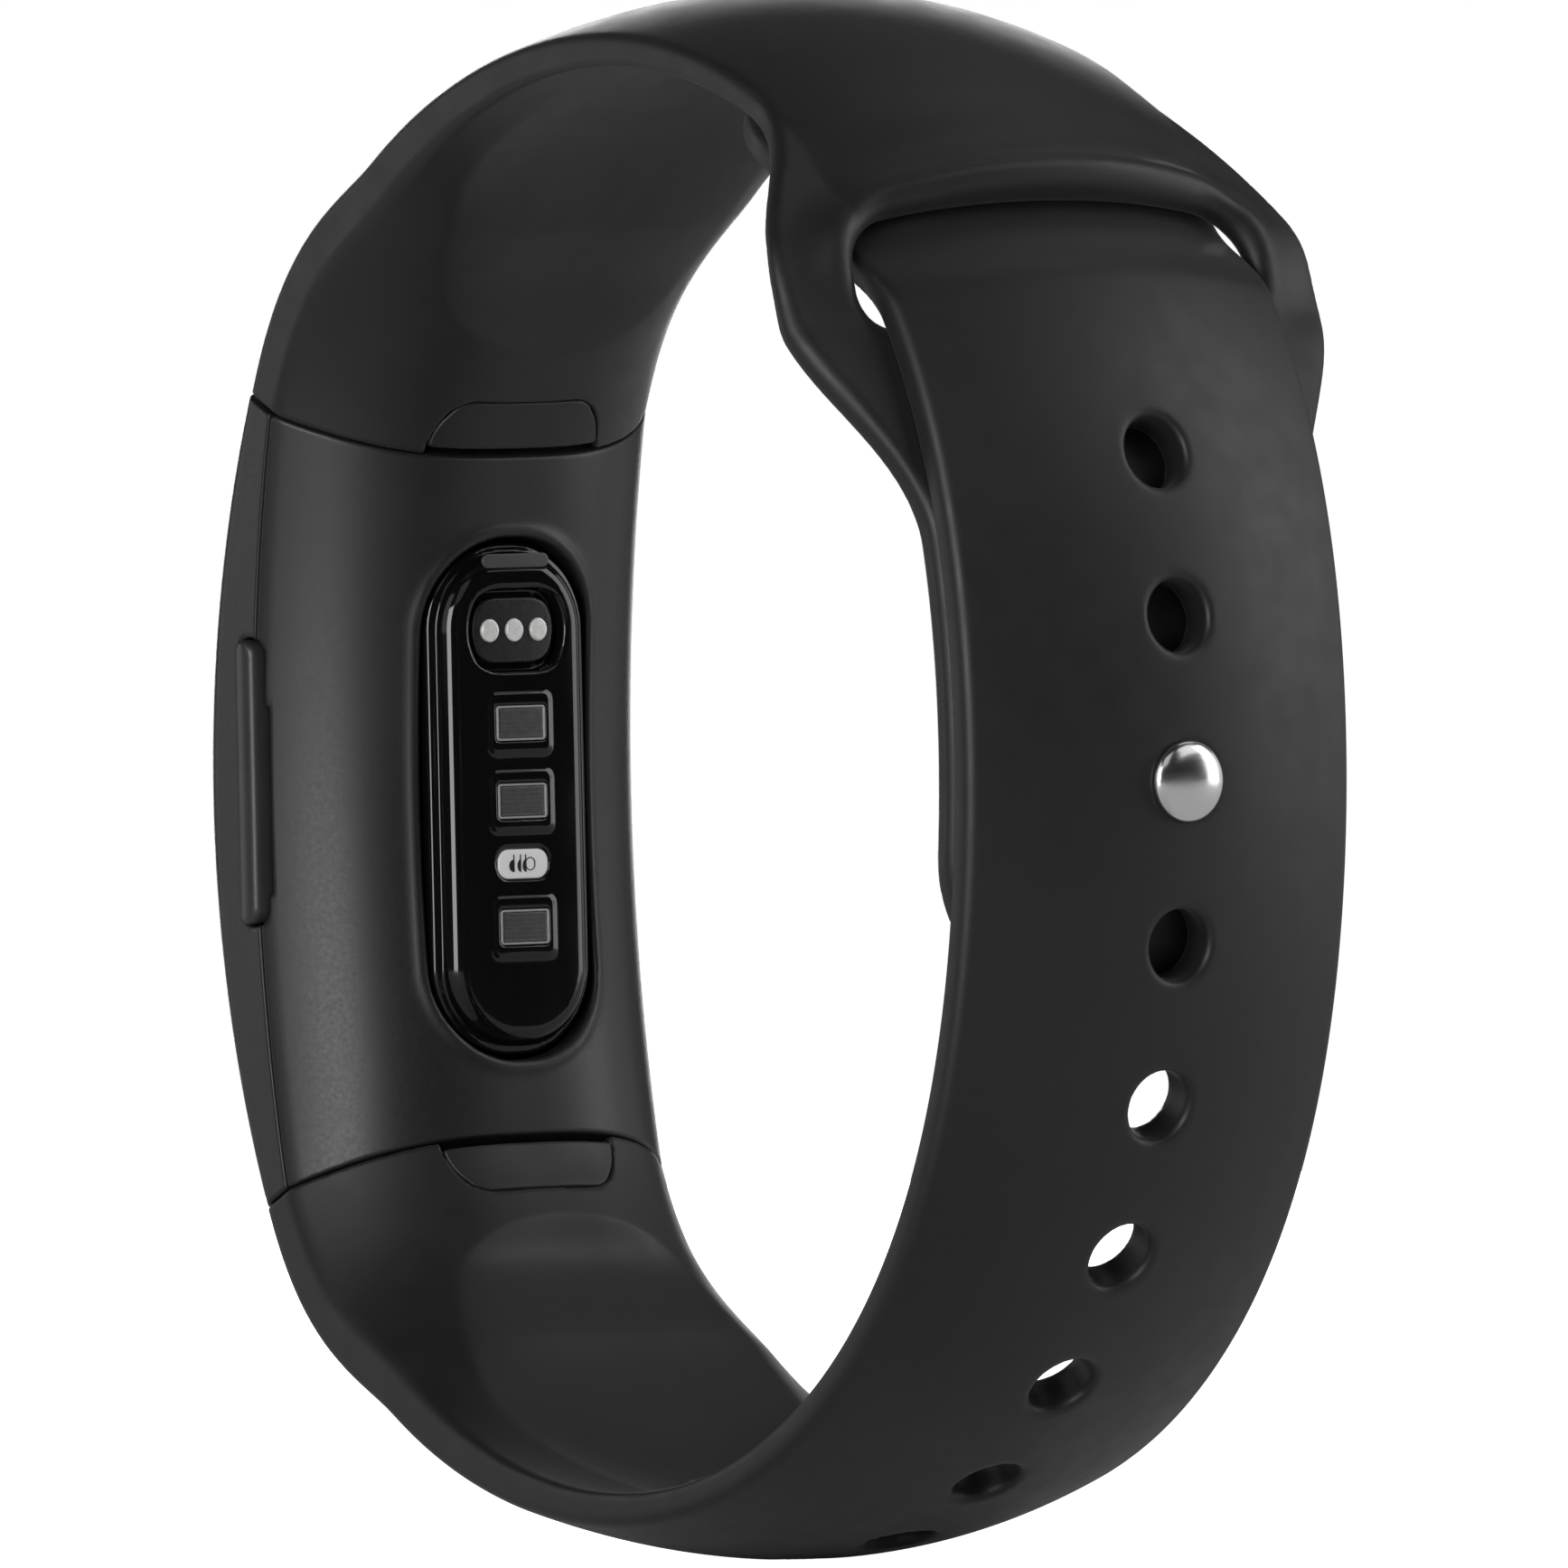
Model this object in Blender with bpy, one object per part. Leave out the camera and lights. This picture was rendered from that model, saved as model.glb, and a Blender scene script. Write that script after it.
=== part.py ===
"""A fitness tracker on a two-piece silicone sport band, fastened into a closed ring.

The ring lies in the XZ plane and the wrist passes through it along Y. The tracker is on
the -X side with its display facing -X and its sensor window facing the wrist, and the
stud, the holes and the loop of the band are on the +X side. The origin is the centre of
the object's overall box. Lengths are in metres.
"""

import math

import bmesh
import bpy
from mathutils import Vector

MM = 0.001
GAP = 0.3 * MM  # clearance between the band's pieces and between the shells
SEAT_GAP = 0.2 * MM  # clearance between the flat pieces stacked inside the case

# The ring: the outer edge line of the band, in polar form about its own centre.
RING_CENTRE_X = -1.441 * MM  # these two put the overall box's centre at the origin
RING_CENTRE_Z = -0.108 * MM
RING_RADIUS = 33.2 * MM
RING_SHIFT = 1.8 * MM  # bulges towards the clasp
RING_OVAL = 1.47 * MM  # taller than it is deep
RING_LEAN = math.radians(10.2)  # lean of the oval's long axis
RING_FLAT = 0.27 * MM  # flattens the tracker's side
RING_SQUARE = 0.43 * MM  # fills out the corners
HALF_WIDTH = 10.55 * MM  # of the band and of the tracker

# The tracker's case. Depth is measured towards the wrist from the front edge line.
POD_X = RING_CENTRE_X - 29.8 * MM  # front edge line at mid length
POD_Z = RING_CENTRE_Z - 1.0 * MM
POD_RADIUS = 49.4 * MM  # front edge line seen from the side
POD_HALF_LENGTH = 19.0 * MM  # along Z, at the front edge line
SEAM_SLOPE = math.radians(25.5)  # the end faces converge towards the wrist
STRIP_MID = 3.7 * MM  # depth of the dark side strip at mid length
STRIP_END = 2.1 * MM
FRONT_RISE_MID = 3.3 * MM  # how far the front stands out of the edge line
FRONT_RISE_END = 1.5 * MM
BACK_RIM = 0.2 * MM
BACK_DOME_MID = 5.4 * MM  # the back's rise above its rim
BACK_DOME_END = 5.1 * MM
BACK_FLATNESS = 3.5  # how long the back stays full before it falls towards the ends
BACK_FULLNESS = 3.0  # exponent of the back's section, and of the band's wrist side beside it
SHELL_WALL = 1.1 * MM
FRAME_WALL = 2.3 * MM
GLASS_HALF_WIDTH = 8.8 * MM
GLASS_THICKNESS = 0.9 * MM
GLASS_SPAN = 0.85 * SEAM_SLOPE
CAVITY_SPAN = 0.77 * SEAM_SLOPE
PANEL_SPAN = 0.483 * SEAM_SLOPE

# The sensor window on the case's back. It is flat, square to X.
WINDOW_HALF_WIDTH = 4.4 * MM
WINDOW_HALF_LENGTH = 12.0 * MM
WINDOW_RISE = 1.15 * MM
WINDOW_FACE = 0.9 * MM
WINDOW_DEPTH = STRIP_MID + BACK_RIM + BACK_DOME_MID + WINDOW_RISE  # its outer face
WINDOW_FOOT = WINDOW_DEPTH - 2.0 * MM  # the inner end of its skirt
CHARGE_Z = 7.75 * MM  # places along Z from the tracker's middle
CHARGE_RADIUS = 2.45 * MM
SENSOR_Z = (3.4 * MM, -0.25 * MM, -6.15 * MM)
LED_Z = -3.2 * MM
PIN_PITCH = 1.36 * MM
PIN_RADIUS = 0.5 * MM

# The stack inside the case: (near, far) depths at mid length.
CHASSIS_DEPTHS = (0.35 * MM, 0.65 * MM)
PAD_DEPTHS = (0.75 * MM, 0.95 * MM)
BATTERY_DEPTHS = (1.05 * MM, 4.9 * MM)
BOARD_DEPTHS = (5.2 * MM, 5.6 * MM)
CHIP_DEPTHS = (5.75 * MM, 6.3 * MM)
SENSOR_BOARD_DEPTHS = (8.45 * MM, 8.7 * MM)
SENSOR_DEPTHS = (8.85 * MM, 9.25 * MM)
INSERT_DEPTHS = (8.6 * MM, 10.0 * MM)

# The band's cross-section, at the clasp and at the tracker.
CROWN_CLASP = 2.2 * MM
CROWN_TRACKER = 1.5 * MM
EDGE_CLASP = 1.35 * MM
EDGE_TRACKER = 2.3 * MM
INSIDE_CLASP = -1.5 * MM
INSIDE_TRACKER = 5.1 * MM
LAYER_DROP = EDGE_CLASP + GAP  # from the outer layer to the one under it, at the clasp
DISH_DEPTH = 0.9 * MM  # oval dishes moulded in the wrist side
DISH_HALF_WIDTH = 7.6 * MM
DISH_CENTRE = math.radians(111.0)
DISH_HALF_SPAN = math.radians(22.0)

# The loop and the holes.
BAR_ANGLE = math.radians(46.5)  # lower edge of the loop's bar
OPENING_END = math.radians(37.0)
OPENING_HALF_WIDTH = 11.2 * MM
OPENING_CORNER = 2.6 * MM
LOOP_HALF_WIDTH = 14.8 * MM
LIMB_FALL = 0.45  # how much of the arch's fall is kept on the sides of the loop
LOOP_TIP = math.radians(-19.5)
TAIL_TIP = math.radians(70.0)
HOLE_PITCH = 7.22 * MM
HOLES_ABOVE_STUD = 2
HOLES_BELOW_STUD = 8
HOLE_RADIUS = 1.6 * MM
STUD_NECK_RADIUS = 1.3 * MM
STUD_HEAD_RADIUS = 1.85 * MM
STUD_HEAD_HEIGHT = 0.75 * MM
WASHER_RADIUS = 2.6 * MM

# The side button, the release latches and the vibration motor.
BUTTON_HALF_LENGTH = 6.65 * MM
BUTTON_DEPTH = 3.45 * MM
BUTTON_Z = POD_Z + 0.9 * MM
BUTTON_RADIUS = 0.8 * MM
BUTTON_PROUD = 0.5 * MM
BUTTON_INSIDE = 1.3 * MM
LATCH_ROOT_HALF_WIDTH = 4.7 * MM
LATCH_TIP_HALF_WIDTH = 3.5 * MM
LATCH_LENGTH = 2.5 * MM
LATCH_THICKNESS = 1.3 * MM
LATCH_TRAVEL = 0.5 * MM
CONNECTOR_DEPTHS = (-0.6 * MM, 2.0 * MM)  # on the end face
CONNECTOR_HALF_WIDTH = 6.2 * MM
CONNECTOR_LENGTH = 3.2 * MM
TONGUE_RISE = 0.75 * MM  # how far the connector's tongue enters the case's end
TONGUE_FRONT = -0.6 * MM  # depths on the end face
TONGUE_BACK = 1.3 * MM
TONGUE_HALF_WIDTH = 4.0 * MM
MOTOR_Z = 7.6 * MM
MOTOR_RADIUS = 3.7 * MM
MOTOR_DEPTH = 0.8 * MM  # its front face
MOTOR_HEIGHT = 2.4 * MM

RUBBER = ("silicone", (0.022, 0.022, 0.023), 0.55, 0.0)
CASE_METAL = ("dark_case", (0.012, 0.012, 0.013), 0.4, 0.6)
SHELL = ("grey_shell", (0.045, 0.045, 0.047), 0.45, 0.0)
GLASS = ("black_glass", (0.004, 0.004, 0.005), 0.05, 0.0)
STEEL = ("polished_steel", (0.8, 0.8, 0.8), 0.12, 1.0)
GOLD = ("contact_metal", (0.75, 0.74, 0.7), 0.2, 1.0)
BOARD = ("circuit_board", (0.02, 0.09, 0.04), 0.5, 0.0)
CHIP = ("chip_black", (0.015, 0.015, 0.015), 0.35, 0.0)
FOIL = ("cell_foil", (0.5, 0.5, 0.52), 0.35, 0.8)
PLASTIC = ("black_plastic", (0.02, 0.02, 0.02), 0.5, 0.0)
SEAL = ("seal_rubber", (0.03, 0.03, 0.03), 0.7, 0.0)
POLYIMIDE = ("flex_film", (0.35, 0.16, 0.03), 0.4, 0.0)
LENS = ("sensor_lens", (0.06, 0.06, 0.065), 0.1, 0.0)
LIGHT = ("emitter_white", (0.8, 0.8, 0.78), 0.3, 0.0)


def clear_scene():
    for old in list(bpy.data.objects):
        bpy.data.objects.remove(old)


def mix(low, high, share):
    return low + (high - low) * share


def smooth_step(value, start, end):
    share = min(max((value - start) / (end - start), 0.0), 1.0)
    return share * share * (3.0 - 2.0 * share)


def spread(start, end, count):
    return [mix(start, end, index / (count - 1)) for index in range(count)]


# ---- Objects, materials and cuts ----


def finish_of(finish):
    name, colour, roughness, metallic = finish
    found = bpy.data.materials.get(name)
    if found:
        return found
    made = bpy.data.materials.new(name)
    made.use_nodes = True
    shader = made.node_tree.nodes["Principled BSDF"]
    shader.inputs["Base Color"].default_value = (*colour, 1.0)
    shader.inputs["Roughness"].default_value = roughness
    shader.inputs["Metallic"].default_value = metallic
    return made


def add_object(name, shape, finish, place=(0.0, 0.0, 0.0)):
    """A new object from a bmesh, with its faces turned outwards."""
    bmesh.ops.recalc_face_normals(shape, faces=shape.faces)
    mesh = bpy.data.meshes.new(name)
    shape.to_mesh(mesh)
    shape.free()
    mesh.materials.append(finish_of(finish))
    made = bpy.data.objects.new(name, mesh)
    made.location = place
    bpy.context.scene.collection.objects.link(made)
    return made


def loft(name, sections, finish):
    """A solid through closed sections that all have the same number of points."""
    shape = bmesh.new()
    rings = [[shape.verts.new(point) for point in section] for section in sections]
    count = len(rings[0])
    for ring, following in zip(rings, rings[1:]):
        for index in range(count):
            after = (index + 1) % count
            shape.faces.new((ring[index], ring[after], following[after], following[index]))
    shape.faces.new(rings[0])
    shape.faces.new(rings[-1])
    # Four-sided faces of a curved loft aren't flat, and a Boolean needs flat ones.
    bmesh.ops.triangulate(shape, faces=shape.faces)
    made = add_object(name, shape, finish)
    made.data.shade_smooth()
    made.data.set_sharp_from_angle(angle=math.radians(40.0))
    return made


def block(name, low, high, finish):
    """A box between two corners, with its origin at its centre."""
    low = Vector(low)
    high = Vector(high)
    shape = bmesh.new()
    bmesh.ops.create_cube(shape, size=1.0)
    bmesh.ops.scale(shape, vec=high - low, verts=shape.verts)
    return add_object(name, shape, finish, (low + high) / 2)


def turned(name, profile, foot, axis, finish, sides=16):
    """A solid of revolution. The profile is (radius, height) pairs from its bottom to its
    top, both ends closed by a flat face, and axis points up it from foot."""
    turn = Vector((0.0, 0.0, 1.0)).rotation_difference(Vector(axis)).to_matrix()
    shape = bmesh.new()
    rings = []
    for radius, height in profile:
        ring = []
        for index in range(sides):
            angle = 2 * math.pi * index / sides
            point = Vector((radius * math.cos(angle), radius * math.sin(angle), height))
            ring.append(shape.verts.new(turn @ point))
        rings.append(ring)
    for ring, following in zip(rings, rings[1:]):
        for index in range(sides):
            after = (index + 1) % sides
            shape.faces.new((ring[index], ring[after], following[after], following[index]))
    shape.faces.new(rings[0])
    shape.faces.new(rings[-1])
    made = add_object(name, shape, finish, foot)
    made.data.shade_smooth()
    made.data.set_sharp_from_angle(angle=math.radians(40.0))
    return made


def combine(made, other, operation):
    modifier = made.modifiers.new(other.name, "BOOLEAN")
    modifier.operation = operation
    modifier.object = other
    other.hide_render = True
    other.display_type = "WIRE"


def cut(made, *cutters):
    for cutter in cutters:
        combine(made, cutter, "DIFFERENCE")


def join(made, *pieces):
    for piece in pieces:
        combine(made, piece, "UNION")


def joint_empty(name, place):
    made = bpy.data.objects.new(name, None)
    made.location = place
    bpy.context.scene.collection.objects.link(made)
    return made


def carry(parent, *pieces):
    """Parents the pieces without moving them in the world."""
    for piece in pieces:
        piece.parent = parent
        piece.location = piece.location - parent.location


# ---- The ring's geometry ----


def pod_edge_distance(angle):
    """From the ring's centre to the tracker's front edge circle, in one direction."""
    direction = Vector((math.cos(angle), math.sin(angle)))
    to_circle = Vector((POD_X + POD_RADIUS - RING_CENTRE_X, POD_Z - RING_CENTRE_Z))
    along = direction.dot(to_circle)
    return along + math.sqrt(along**2 - to_circle.length_squared + POD_RADIUS**2)


def ring_distance(angle):
    band = (
        RING_RADIUS
        + RING_SHIFT * math.cos(angle)
        - RING_OVAL * math.cos(2 * (angle + RING_LEAN))
        - RING_FLAT * math.cos(3 * angle)
        - RING_SQUARE * math.cos(4 * angle)
    )
    near_tracker = smooth_step(abs(angle), math.radians(118.0), math.radians(143.0))
    if near_tracker == 0.0:
        return band
    return mix(band, pod_edge_distance(angle), near_tracker)


def ring_edge(angle):
    """(x, z) on the outer edge line."""
    distance = ring_distance(angle)
    along = Vector((math.cos(angle), math.sin(angle)))
    return Vector((RING_CENTRE_X, RING_CENTRE_Z)) + distance * along


def pole():
    """(x, z) of the point that the tracker's two end faces aim at."""
    edge_x = POD_X + POD_RADIUS - math.sqrt(POD_RADIUS**2 - POD_HALF_LENGTH**2)
    return Vector((edge_x + POD_HALF_LENGTH / math.tan(SEAM_SLOPE), POD_Z))


def ring_inward(angle):
    """(x, z) towards the wrist: square to the edge line, and along the end face near it."""
    step = 0.01
    along = ring_edge(angle + step) - ring_edge(angle - step)
    square = Vector((-along.y, along.x)).normalized()
    at_seam = (pole() - ring_edge(angle)).normalized()
    share = smooth_step(abs(angle), math.radians(122.0), math.radians(142.0))
    return square.lerp(at_seam, share).normalized()


def ring_point(angle, across, depth):
    place = ring_edge(angle) + ring_inward(angle) * depth
    return Vector((place.x, across, place.y))


def arc_table(start=-2.6, end=2.6, steps=1040):
    """Angles with the arc length of the edge line up to each, counted from angle 0."""
    angles = spread(start, end, steps + 1)
    lengths = [0.0]
    for before, after in zip(angles, angles[1:]):
        lengths.append(lengths[-1] + (ring_edge(after) - ring_edge(before)).length)
    zero = lengths[steps // 2]
    return [(angle, length - zero) for angle, length in zip(angles, lengths)]


ARC_TABLE = arc_table()


def angle_at(length):
    """The ring angle that lies a length along the edge line from angle 0."""
    for (angle, before), (next_angle, after) in zip(ARC_TABLE, ARC_TABLE[1:]):
        if before <= length <= after:
            return mix(angle, next_angle, (length - before) / (after - before))
    raise ValueError("length beyond the band")


def seam_angle(side):
    """Where the tracker's upper (side 1) or lower (side -1) end meets the edge line."""
    edge_x = POD_X + POD_RADIUS - math.sqrt(POD_RADIUS**2 - POD_HALF_LENGTH**2)
    edge_z = POD_Z + side * POD_HALF_LENGTH
    return math.atan2(edge_z - RING_CENTRE_Z, edge_x - RING_CENTRE_X)


# ---- The band ----


def dish(angle, share):
    """Depth of the oval dish at a ring angle and a share of the half width."""
    along = (abs(angle) - DISH_CENTRE) / DISH_HALF_SPAN
    across = share * HALF_WIDTH / DISH_HALF_WIDTH
    reach = math.hypot(along, across)
    return DISH_DEPTH * (1.0 - smooth_step(reach, 0.55, 1.0))


def band_arch(across, fullness=2.0):
    """1 on the centre line and 0 at the band's edge. Beyond the edge, on the sides of the
    loop, it falls more slowly, which keeps them thick."""
    arch = 1.0 - abs(across / HALF_WIDTH) ** fullness
    return arch if arch > 0.0 else LIMB_FALL * arch


def band_section(angle, half_width, layer, steps=8):
    """A closed section of the band. layer is 0 for the outer layer and 1 for the one under
    it, whose outer side follows the inside of the layer above."""
    near_tracker = smooth_step(abs(angle), math.radians(60.0), math.radians(140.0))
    crown = mix(CROWN_CLASP, CROWN_TRACKER, near_tracker)
    edge = mix(EDGE_CLASP, EDGE_TRACKER, near_tracker)
    swelling = smooth_step(abs(angle), math.radians(85.0), math.radians(138.0))
    inside = mix(INSIDE_CLASP, INSIDE_TRACKER, swelling)
    fullness = mix(2.0, BACK_FULLNESS, swelling)
    drop = layer * (edge + GAP)
    crown = mix(crown, -inside, layer)
    shares = spread(-1.0, 1.0, steps + 1)
    points = []
    for share in shares:
        arch = band_arch(share * half_width)
        points.append(ring_point(angle, share * half_width, drop - crown * arch))
    for share in reversed(shares):
        arch = band_arch(share * half_width, fullness)
        depth = drop + edge + inside * arch - dish(angle, share)
        points.append(ring_point(angle, share * half_width, depth))
    return points


def loop_half_width(angle):
    """The band swells around the loop's opening and tapers again towards its tip."""
    swell = smooth_step(angle, math.radians(20.0), math.radians(40.0))
    swell *= 1.0 - smooth_step(angle, math.radians(43.0), math.radians(62.0))
    width = mix(HALF_WIDTH - 0.1 * MM, LOOP_HALF_WIDTH, swell)
    tip = 1.0 - smooth_step(angle, LOOP_TIP, LOOP_TIP + math.radians(12.0))
    return width * (1.0 - 0.45 * tip)


def loop_layer(angle):
    """The loop strap is the outer layer above its opening and the inner one below it."""
    return 1.0 - smooth_step(angle, OPENING_END + math.radians(1.0), BAR_ANGLE)


def tail_half_width(angle):
    return HALF_WIDTH * (1.0 - 0.3 * smooth_step(angle, TAIL_TIP - math.radians(7.0), TAIL_TIP))


def tail_layer(angle):
    """The holed strap dives through the opening, under the bar."""
    return smooth_step(angle, OPENING_END + math.radians(1.0), BAR_ANGLE)


def opening_cutter():
    """The loop's opening: a curved box with rounded corners."""
    sections = []
    ring = ring_distance(OPENING_END)
    for angle in spread(OPENING_END, BAR_ANGLE, 13):
        from_end = min(angle - OPENING_END, BAR_ANGLE - angle) * ring
        short = max(OPENING_CORNER - from_end, 0.0)
        rounding = OPENING_CORNER - math.sqrt(OPENING_CORNER**2 - short**2)
        half_width = OPENING_HALF_WIDTH - rounding
        sections.append(
            [
                ring_point(angle, -half_width, -4 * MM),
                ring_point(angle, half_width, -4 * MM),
                ring_point(angle, half_width, 6 * MM),
                ring_point(angle, -half_width, 6 * MM),
            ]
        )
    return loft("opening_cutter", sections, RUBBER)


def radial_cutter(name, angle, radius, low, high, sides=12):
    """A round cutter square to the ring, between two depths."""
    inward = ring_inward(angle)
    foot = ring_point(angle, 0.0, low)
    profile = [(radius, 0.0), (radius, high - low)]
    return turned(name, profile, foot, (inward.x, 0.0, inward.y), RUBBER, sides)


def make_loop_strap():
    start = seam_angle(1) - GAP / RING_RADIUS
    angles = spread(LOOP_TIP, math.radians(20.0), 10)[:-1]
    angles += spread(math.radians(20.0), math.radians(90.0), 27)[:-1]
    angles += spread(math.radians(90.0), start, 15)
    sections = [band_section(a, loop_half_width(a), loop_layer(a)) for a in angles]
    made = loft("loop_strap", sections, RUBBER)
    stud = angle_at(0.0)
    reach = LAYER_DROP + INSIDE_CLASP + EDGE_CLASP
    cut(
        made,
        opening_cutter(),
        radial_cutter("stud_bore_cutter", stud, STUD_NECK_RADIUS + SEAT_GAP, -2 * MM, 4 * MM),
        radial_cutter("washer_seat_cutter", stud, WASHER_RADIUS + GAP, reach - 0.8 * MM, 5 * MM, 20),
    )
    return made


def make_holed_strap():
    start = seam_angle(-1) + GAP / RING_RADIUS
    angles = spread(start, math.radians(-90.0), 15)[:-1]
    angles += spread(math.radians(-90.0), OPENING_END, 34)[:-1]
    angles += spread(OPENING_END, TAIL_TIP, 13)
    sections = [band_section(a, tail_half_width(a), tail_layer(a)) for a in angles]
    made = loft("holed_strap", sections, RUBBER)
    for index in range(-HOLES_BELOW_STUD, HOLES_ABOVE_STUD + 1):
        angle = angle_at(index * HOLE_PITCH)
        name = f"hole_cutter_{index + HOLES_BELOW_STUD}"
        cut(made, radial_cutter(name, angle, HOLE_RADIUS, -4 * MM, 6 * MM))
    return made


def make_stud():
    """The stud stands on a flange under the inner layer and pokes out of a hole."""
    angle = angle_at(0.0)
    outward = -ring_inward(angle)
    axis = (outward.x, 0.0, outward.y)
    inner_face = LAYER_DROP + EDGE_CLASP + INSIDE_CLASP
    washer_top = inner_face - 0.8 * MM + SEAT_GAP
    foot_depth = inner_face - 0.1 * MM
    head_depth = -CROWN_CLASP - 0.1 * MM
    tall = foot_depth - head_depth
    profile = [
        (STUD_NECK_RADIUS, 0.0),
        (STUD_NECK_RADIUS, tall),
        (STUD_HEAD_RADIUS, tall + 0.15 * MM),
        (STUD_HEAD_RADIUS * 0.93, tall + 0.45 * STUD_HEAD_HEIGHT),
        (STUD_HEAD_RADIUS * 0.6, tall + 0.85 * STUD_HEAD_HEIGHT),
        (STUD_HEAD_RADIUS * 0.2, tall + STUD_HEAD_HEIGHT),
    ]
    stud = turned("clasp_stud", profile, ring_point(angle, 0.0, foot_depth), axis, STEEL, 20)
    washer_profile = [(WASHER_RADIUS, 0.0), (WASHER_RADIUS, 0.5 * MM)]
    washer_foot = ring_point(angle, 0.0, washer_top + 0.5 * MM)
    washer = turned("stud_washer", washer_profile, washer_foot, axis, STEEL, 20)
    bore = radial_cutter("washer_bore_cutter", angle, STUD_NECK_RADIUS + 0.1 * MM, -4 * MM, 6 * MM, 20)
    cut(washer, bore)
    return stud, washer


# ---- The case's geometry ----


def pod_point(tilt, across, depth):
    """A point of the case on the plane through the pole at a tilt from the middle."""
    direction = Vector((-math.cos(tilt), math.sin(tilt)))
    centre = pole()
    to_circle = Vector((POD_X + POD_RADIUS, POD_Z)) - centre
    along = direction.dot(to_circle)
    edge = along + math.sqrt(along**2 - to_circle.length_squared + POD_RADIUS**2)
    place = centre + direction * (edge - depth)
    return Vector((place.x, across, place.y))


def end_share(tilt):
    return (tilt / SEAM_SLOPE) ** 2


def strip_depth(tilt):
    return mix(STRIP_MID, STRIP_END, end_share(tilt))


def front_depth(tilt, across):
    rise = mix(FRONT_RISE_MID, FRONT_RISE_END, end_share(tilt))
    return -rise * (1.0 - abs(across / HALF_WIDTH) ** 4)


def back_depth(tilt, across):
    dome = mix(BACK_DOME_MID, BACK_DOME_END, end_share(tilt) ** BACK_FLATNESS)
    return strip_depth(tilt) + BACK_RIM + dome * (1.0 - abs(across / HALF_WIDTH) ** BACK_FULLNESS)


def pod_slab(name, top, bottom, half_width, span, finish, stations=15, steps=10):
    """A curved slab of the case between two depth functions of (tilt, across)."""
    sections = []
    for tilt in spread(-span, span, stations):
        shares = spread(-half_width, half_width, steps + 1)
        section = [pod_point(tilt, across, top(tilt, across)) for across in shares]
        section += [pod_point(tilt, across, bottom(tilt, across)) for across in reversed(shares)]
        sections.append(section)
    return loft(name, sections, finish)


def pod_block(name, front, back, across, along, finish):
    """A straight box inside the case. front and back are depths, and across and along are
    (low, high) pairs on Y and on Z from the tracker's middle."""
    low = (POD_X + front, across[0], POD_Z + along[0])
    high = (POD_X + back, across[1], POD_Z + along[1])
    return block(name, low, high, finish)


def stadium(half_length, radius, ends=6):
    """(place along, half width) pairs down a slot shape with round ends."""
    pairs = []
    for index in range(ends):
        angle = math.radians(mix(12.0, 90.0, index / (ends - 1)))
        pairs.append((half_length - radius + radius * math.cos(angle), radius * math.sin(angle)))
    far = [(-along, half) for along, half in reversed(pairs)]
    middle = [(along, radius) for along in spread(pairs[-1][0], far[0][0], 9)[1:-1]]
    return pairs + middle + far


def window_prism(name, half_length, radius, front, back, finish):
    """A slot-shaped piece of the sensor window between two depths."""
    sections = []
    for along, half_width in stadium(half_length, radius):
        section = []
        for across, depth in ((-1, front), (1, front), (1, back), (-1, back)):
            section.append(Vector((POD_X + depth, across * half_width, POD_Z + along)))
        sections.append(section)
    return loft(name, sections, finish)


# ---- Case shells and display ----


def make_case_frame():
    made = pod_slab(
        "case_frame",
        front_depth,
        lambda tilt, across: strip_depth(tilt),
        HALF_WIDTH,
        SEAM_SLOPE,
        CASE_METAL,
    )
    seat = pod_slab(
        "glass_seat_cutter",
        lambda tilt, across: -8 * MM,
        lambda tilt, across: front_depth(tilt, across) + GLASS_THICKNESS + 0.6 * MM,
        GLASS_HALF_WIDTH + SEAT_GAP,
        GLASS_SPAN + math.radians(0.4),
        CASE_METAL,
    )
    cavity = pod_slab(
        "frame_cavity_cutter",
        lambda tilt, across: -9 * MM,
        lambda tilt, across: 9 * MM,
        HALF_WIDTH - FRAME_WALL,
        CAVITY_SPAN,
        CASE_METAL,
        steps=1,
    )
    cut(made, seat, cavity, button_cutter("frame_button_cutter"))
    return made


def make_rear_housing():
    made = pod_slab(
        "rear_housing",
        lambda tilt, across: strip_depth(tilt) + GAP / 2,
        back_depth,
        HALF_WIDTH,
        SEAM_SLOPE,
        SHELL,
        stations=19,
        steps=12,
    )
    cavity = pod_slab(
        "shell_cavity_cutter",
        lambda tilt, across: strip_depth(tilt) - 1 * MM,
        lambda tilt, across: back_depth(tilt, across) - SHELL_WALL,
        HALF_WIDTH - FRAME_WALL,
        CAVITY_SPAN,
        SHELL,
    )
    opening = window_prism(
        "window_opening_cutter",
        WINDOW_HALF_LENGTH + GAP,
        WINDOW_HALF_WIDTH + GAP,
        WINDOW_FOOT - GAP,
        WINDOW_DEPTH + 2 * MM,
        SHELL,
    )
    cut(made, cavity, opening, button_cutter("shell_button_cutter"))
    return made


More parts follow.
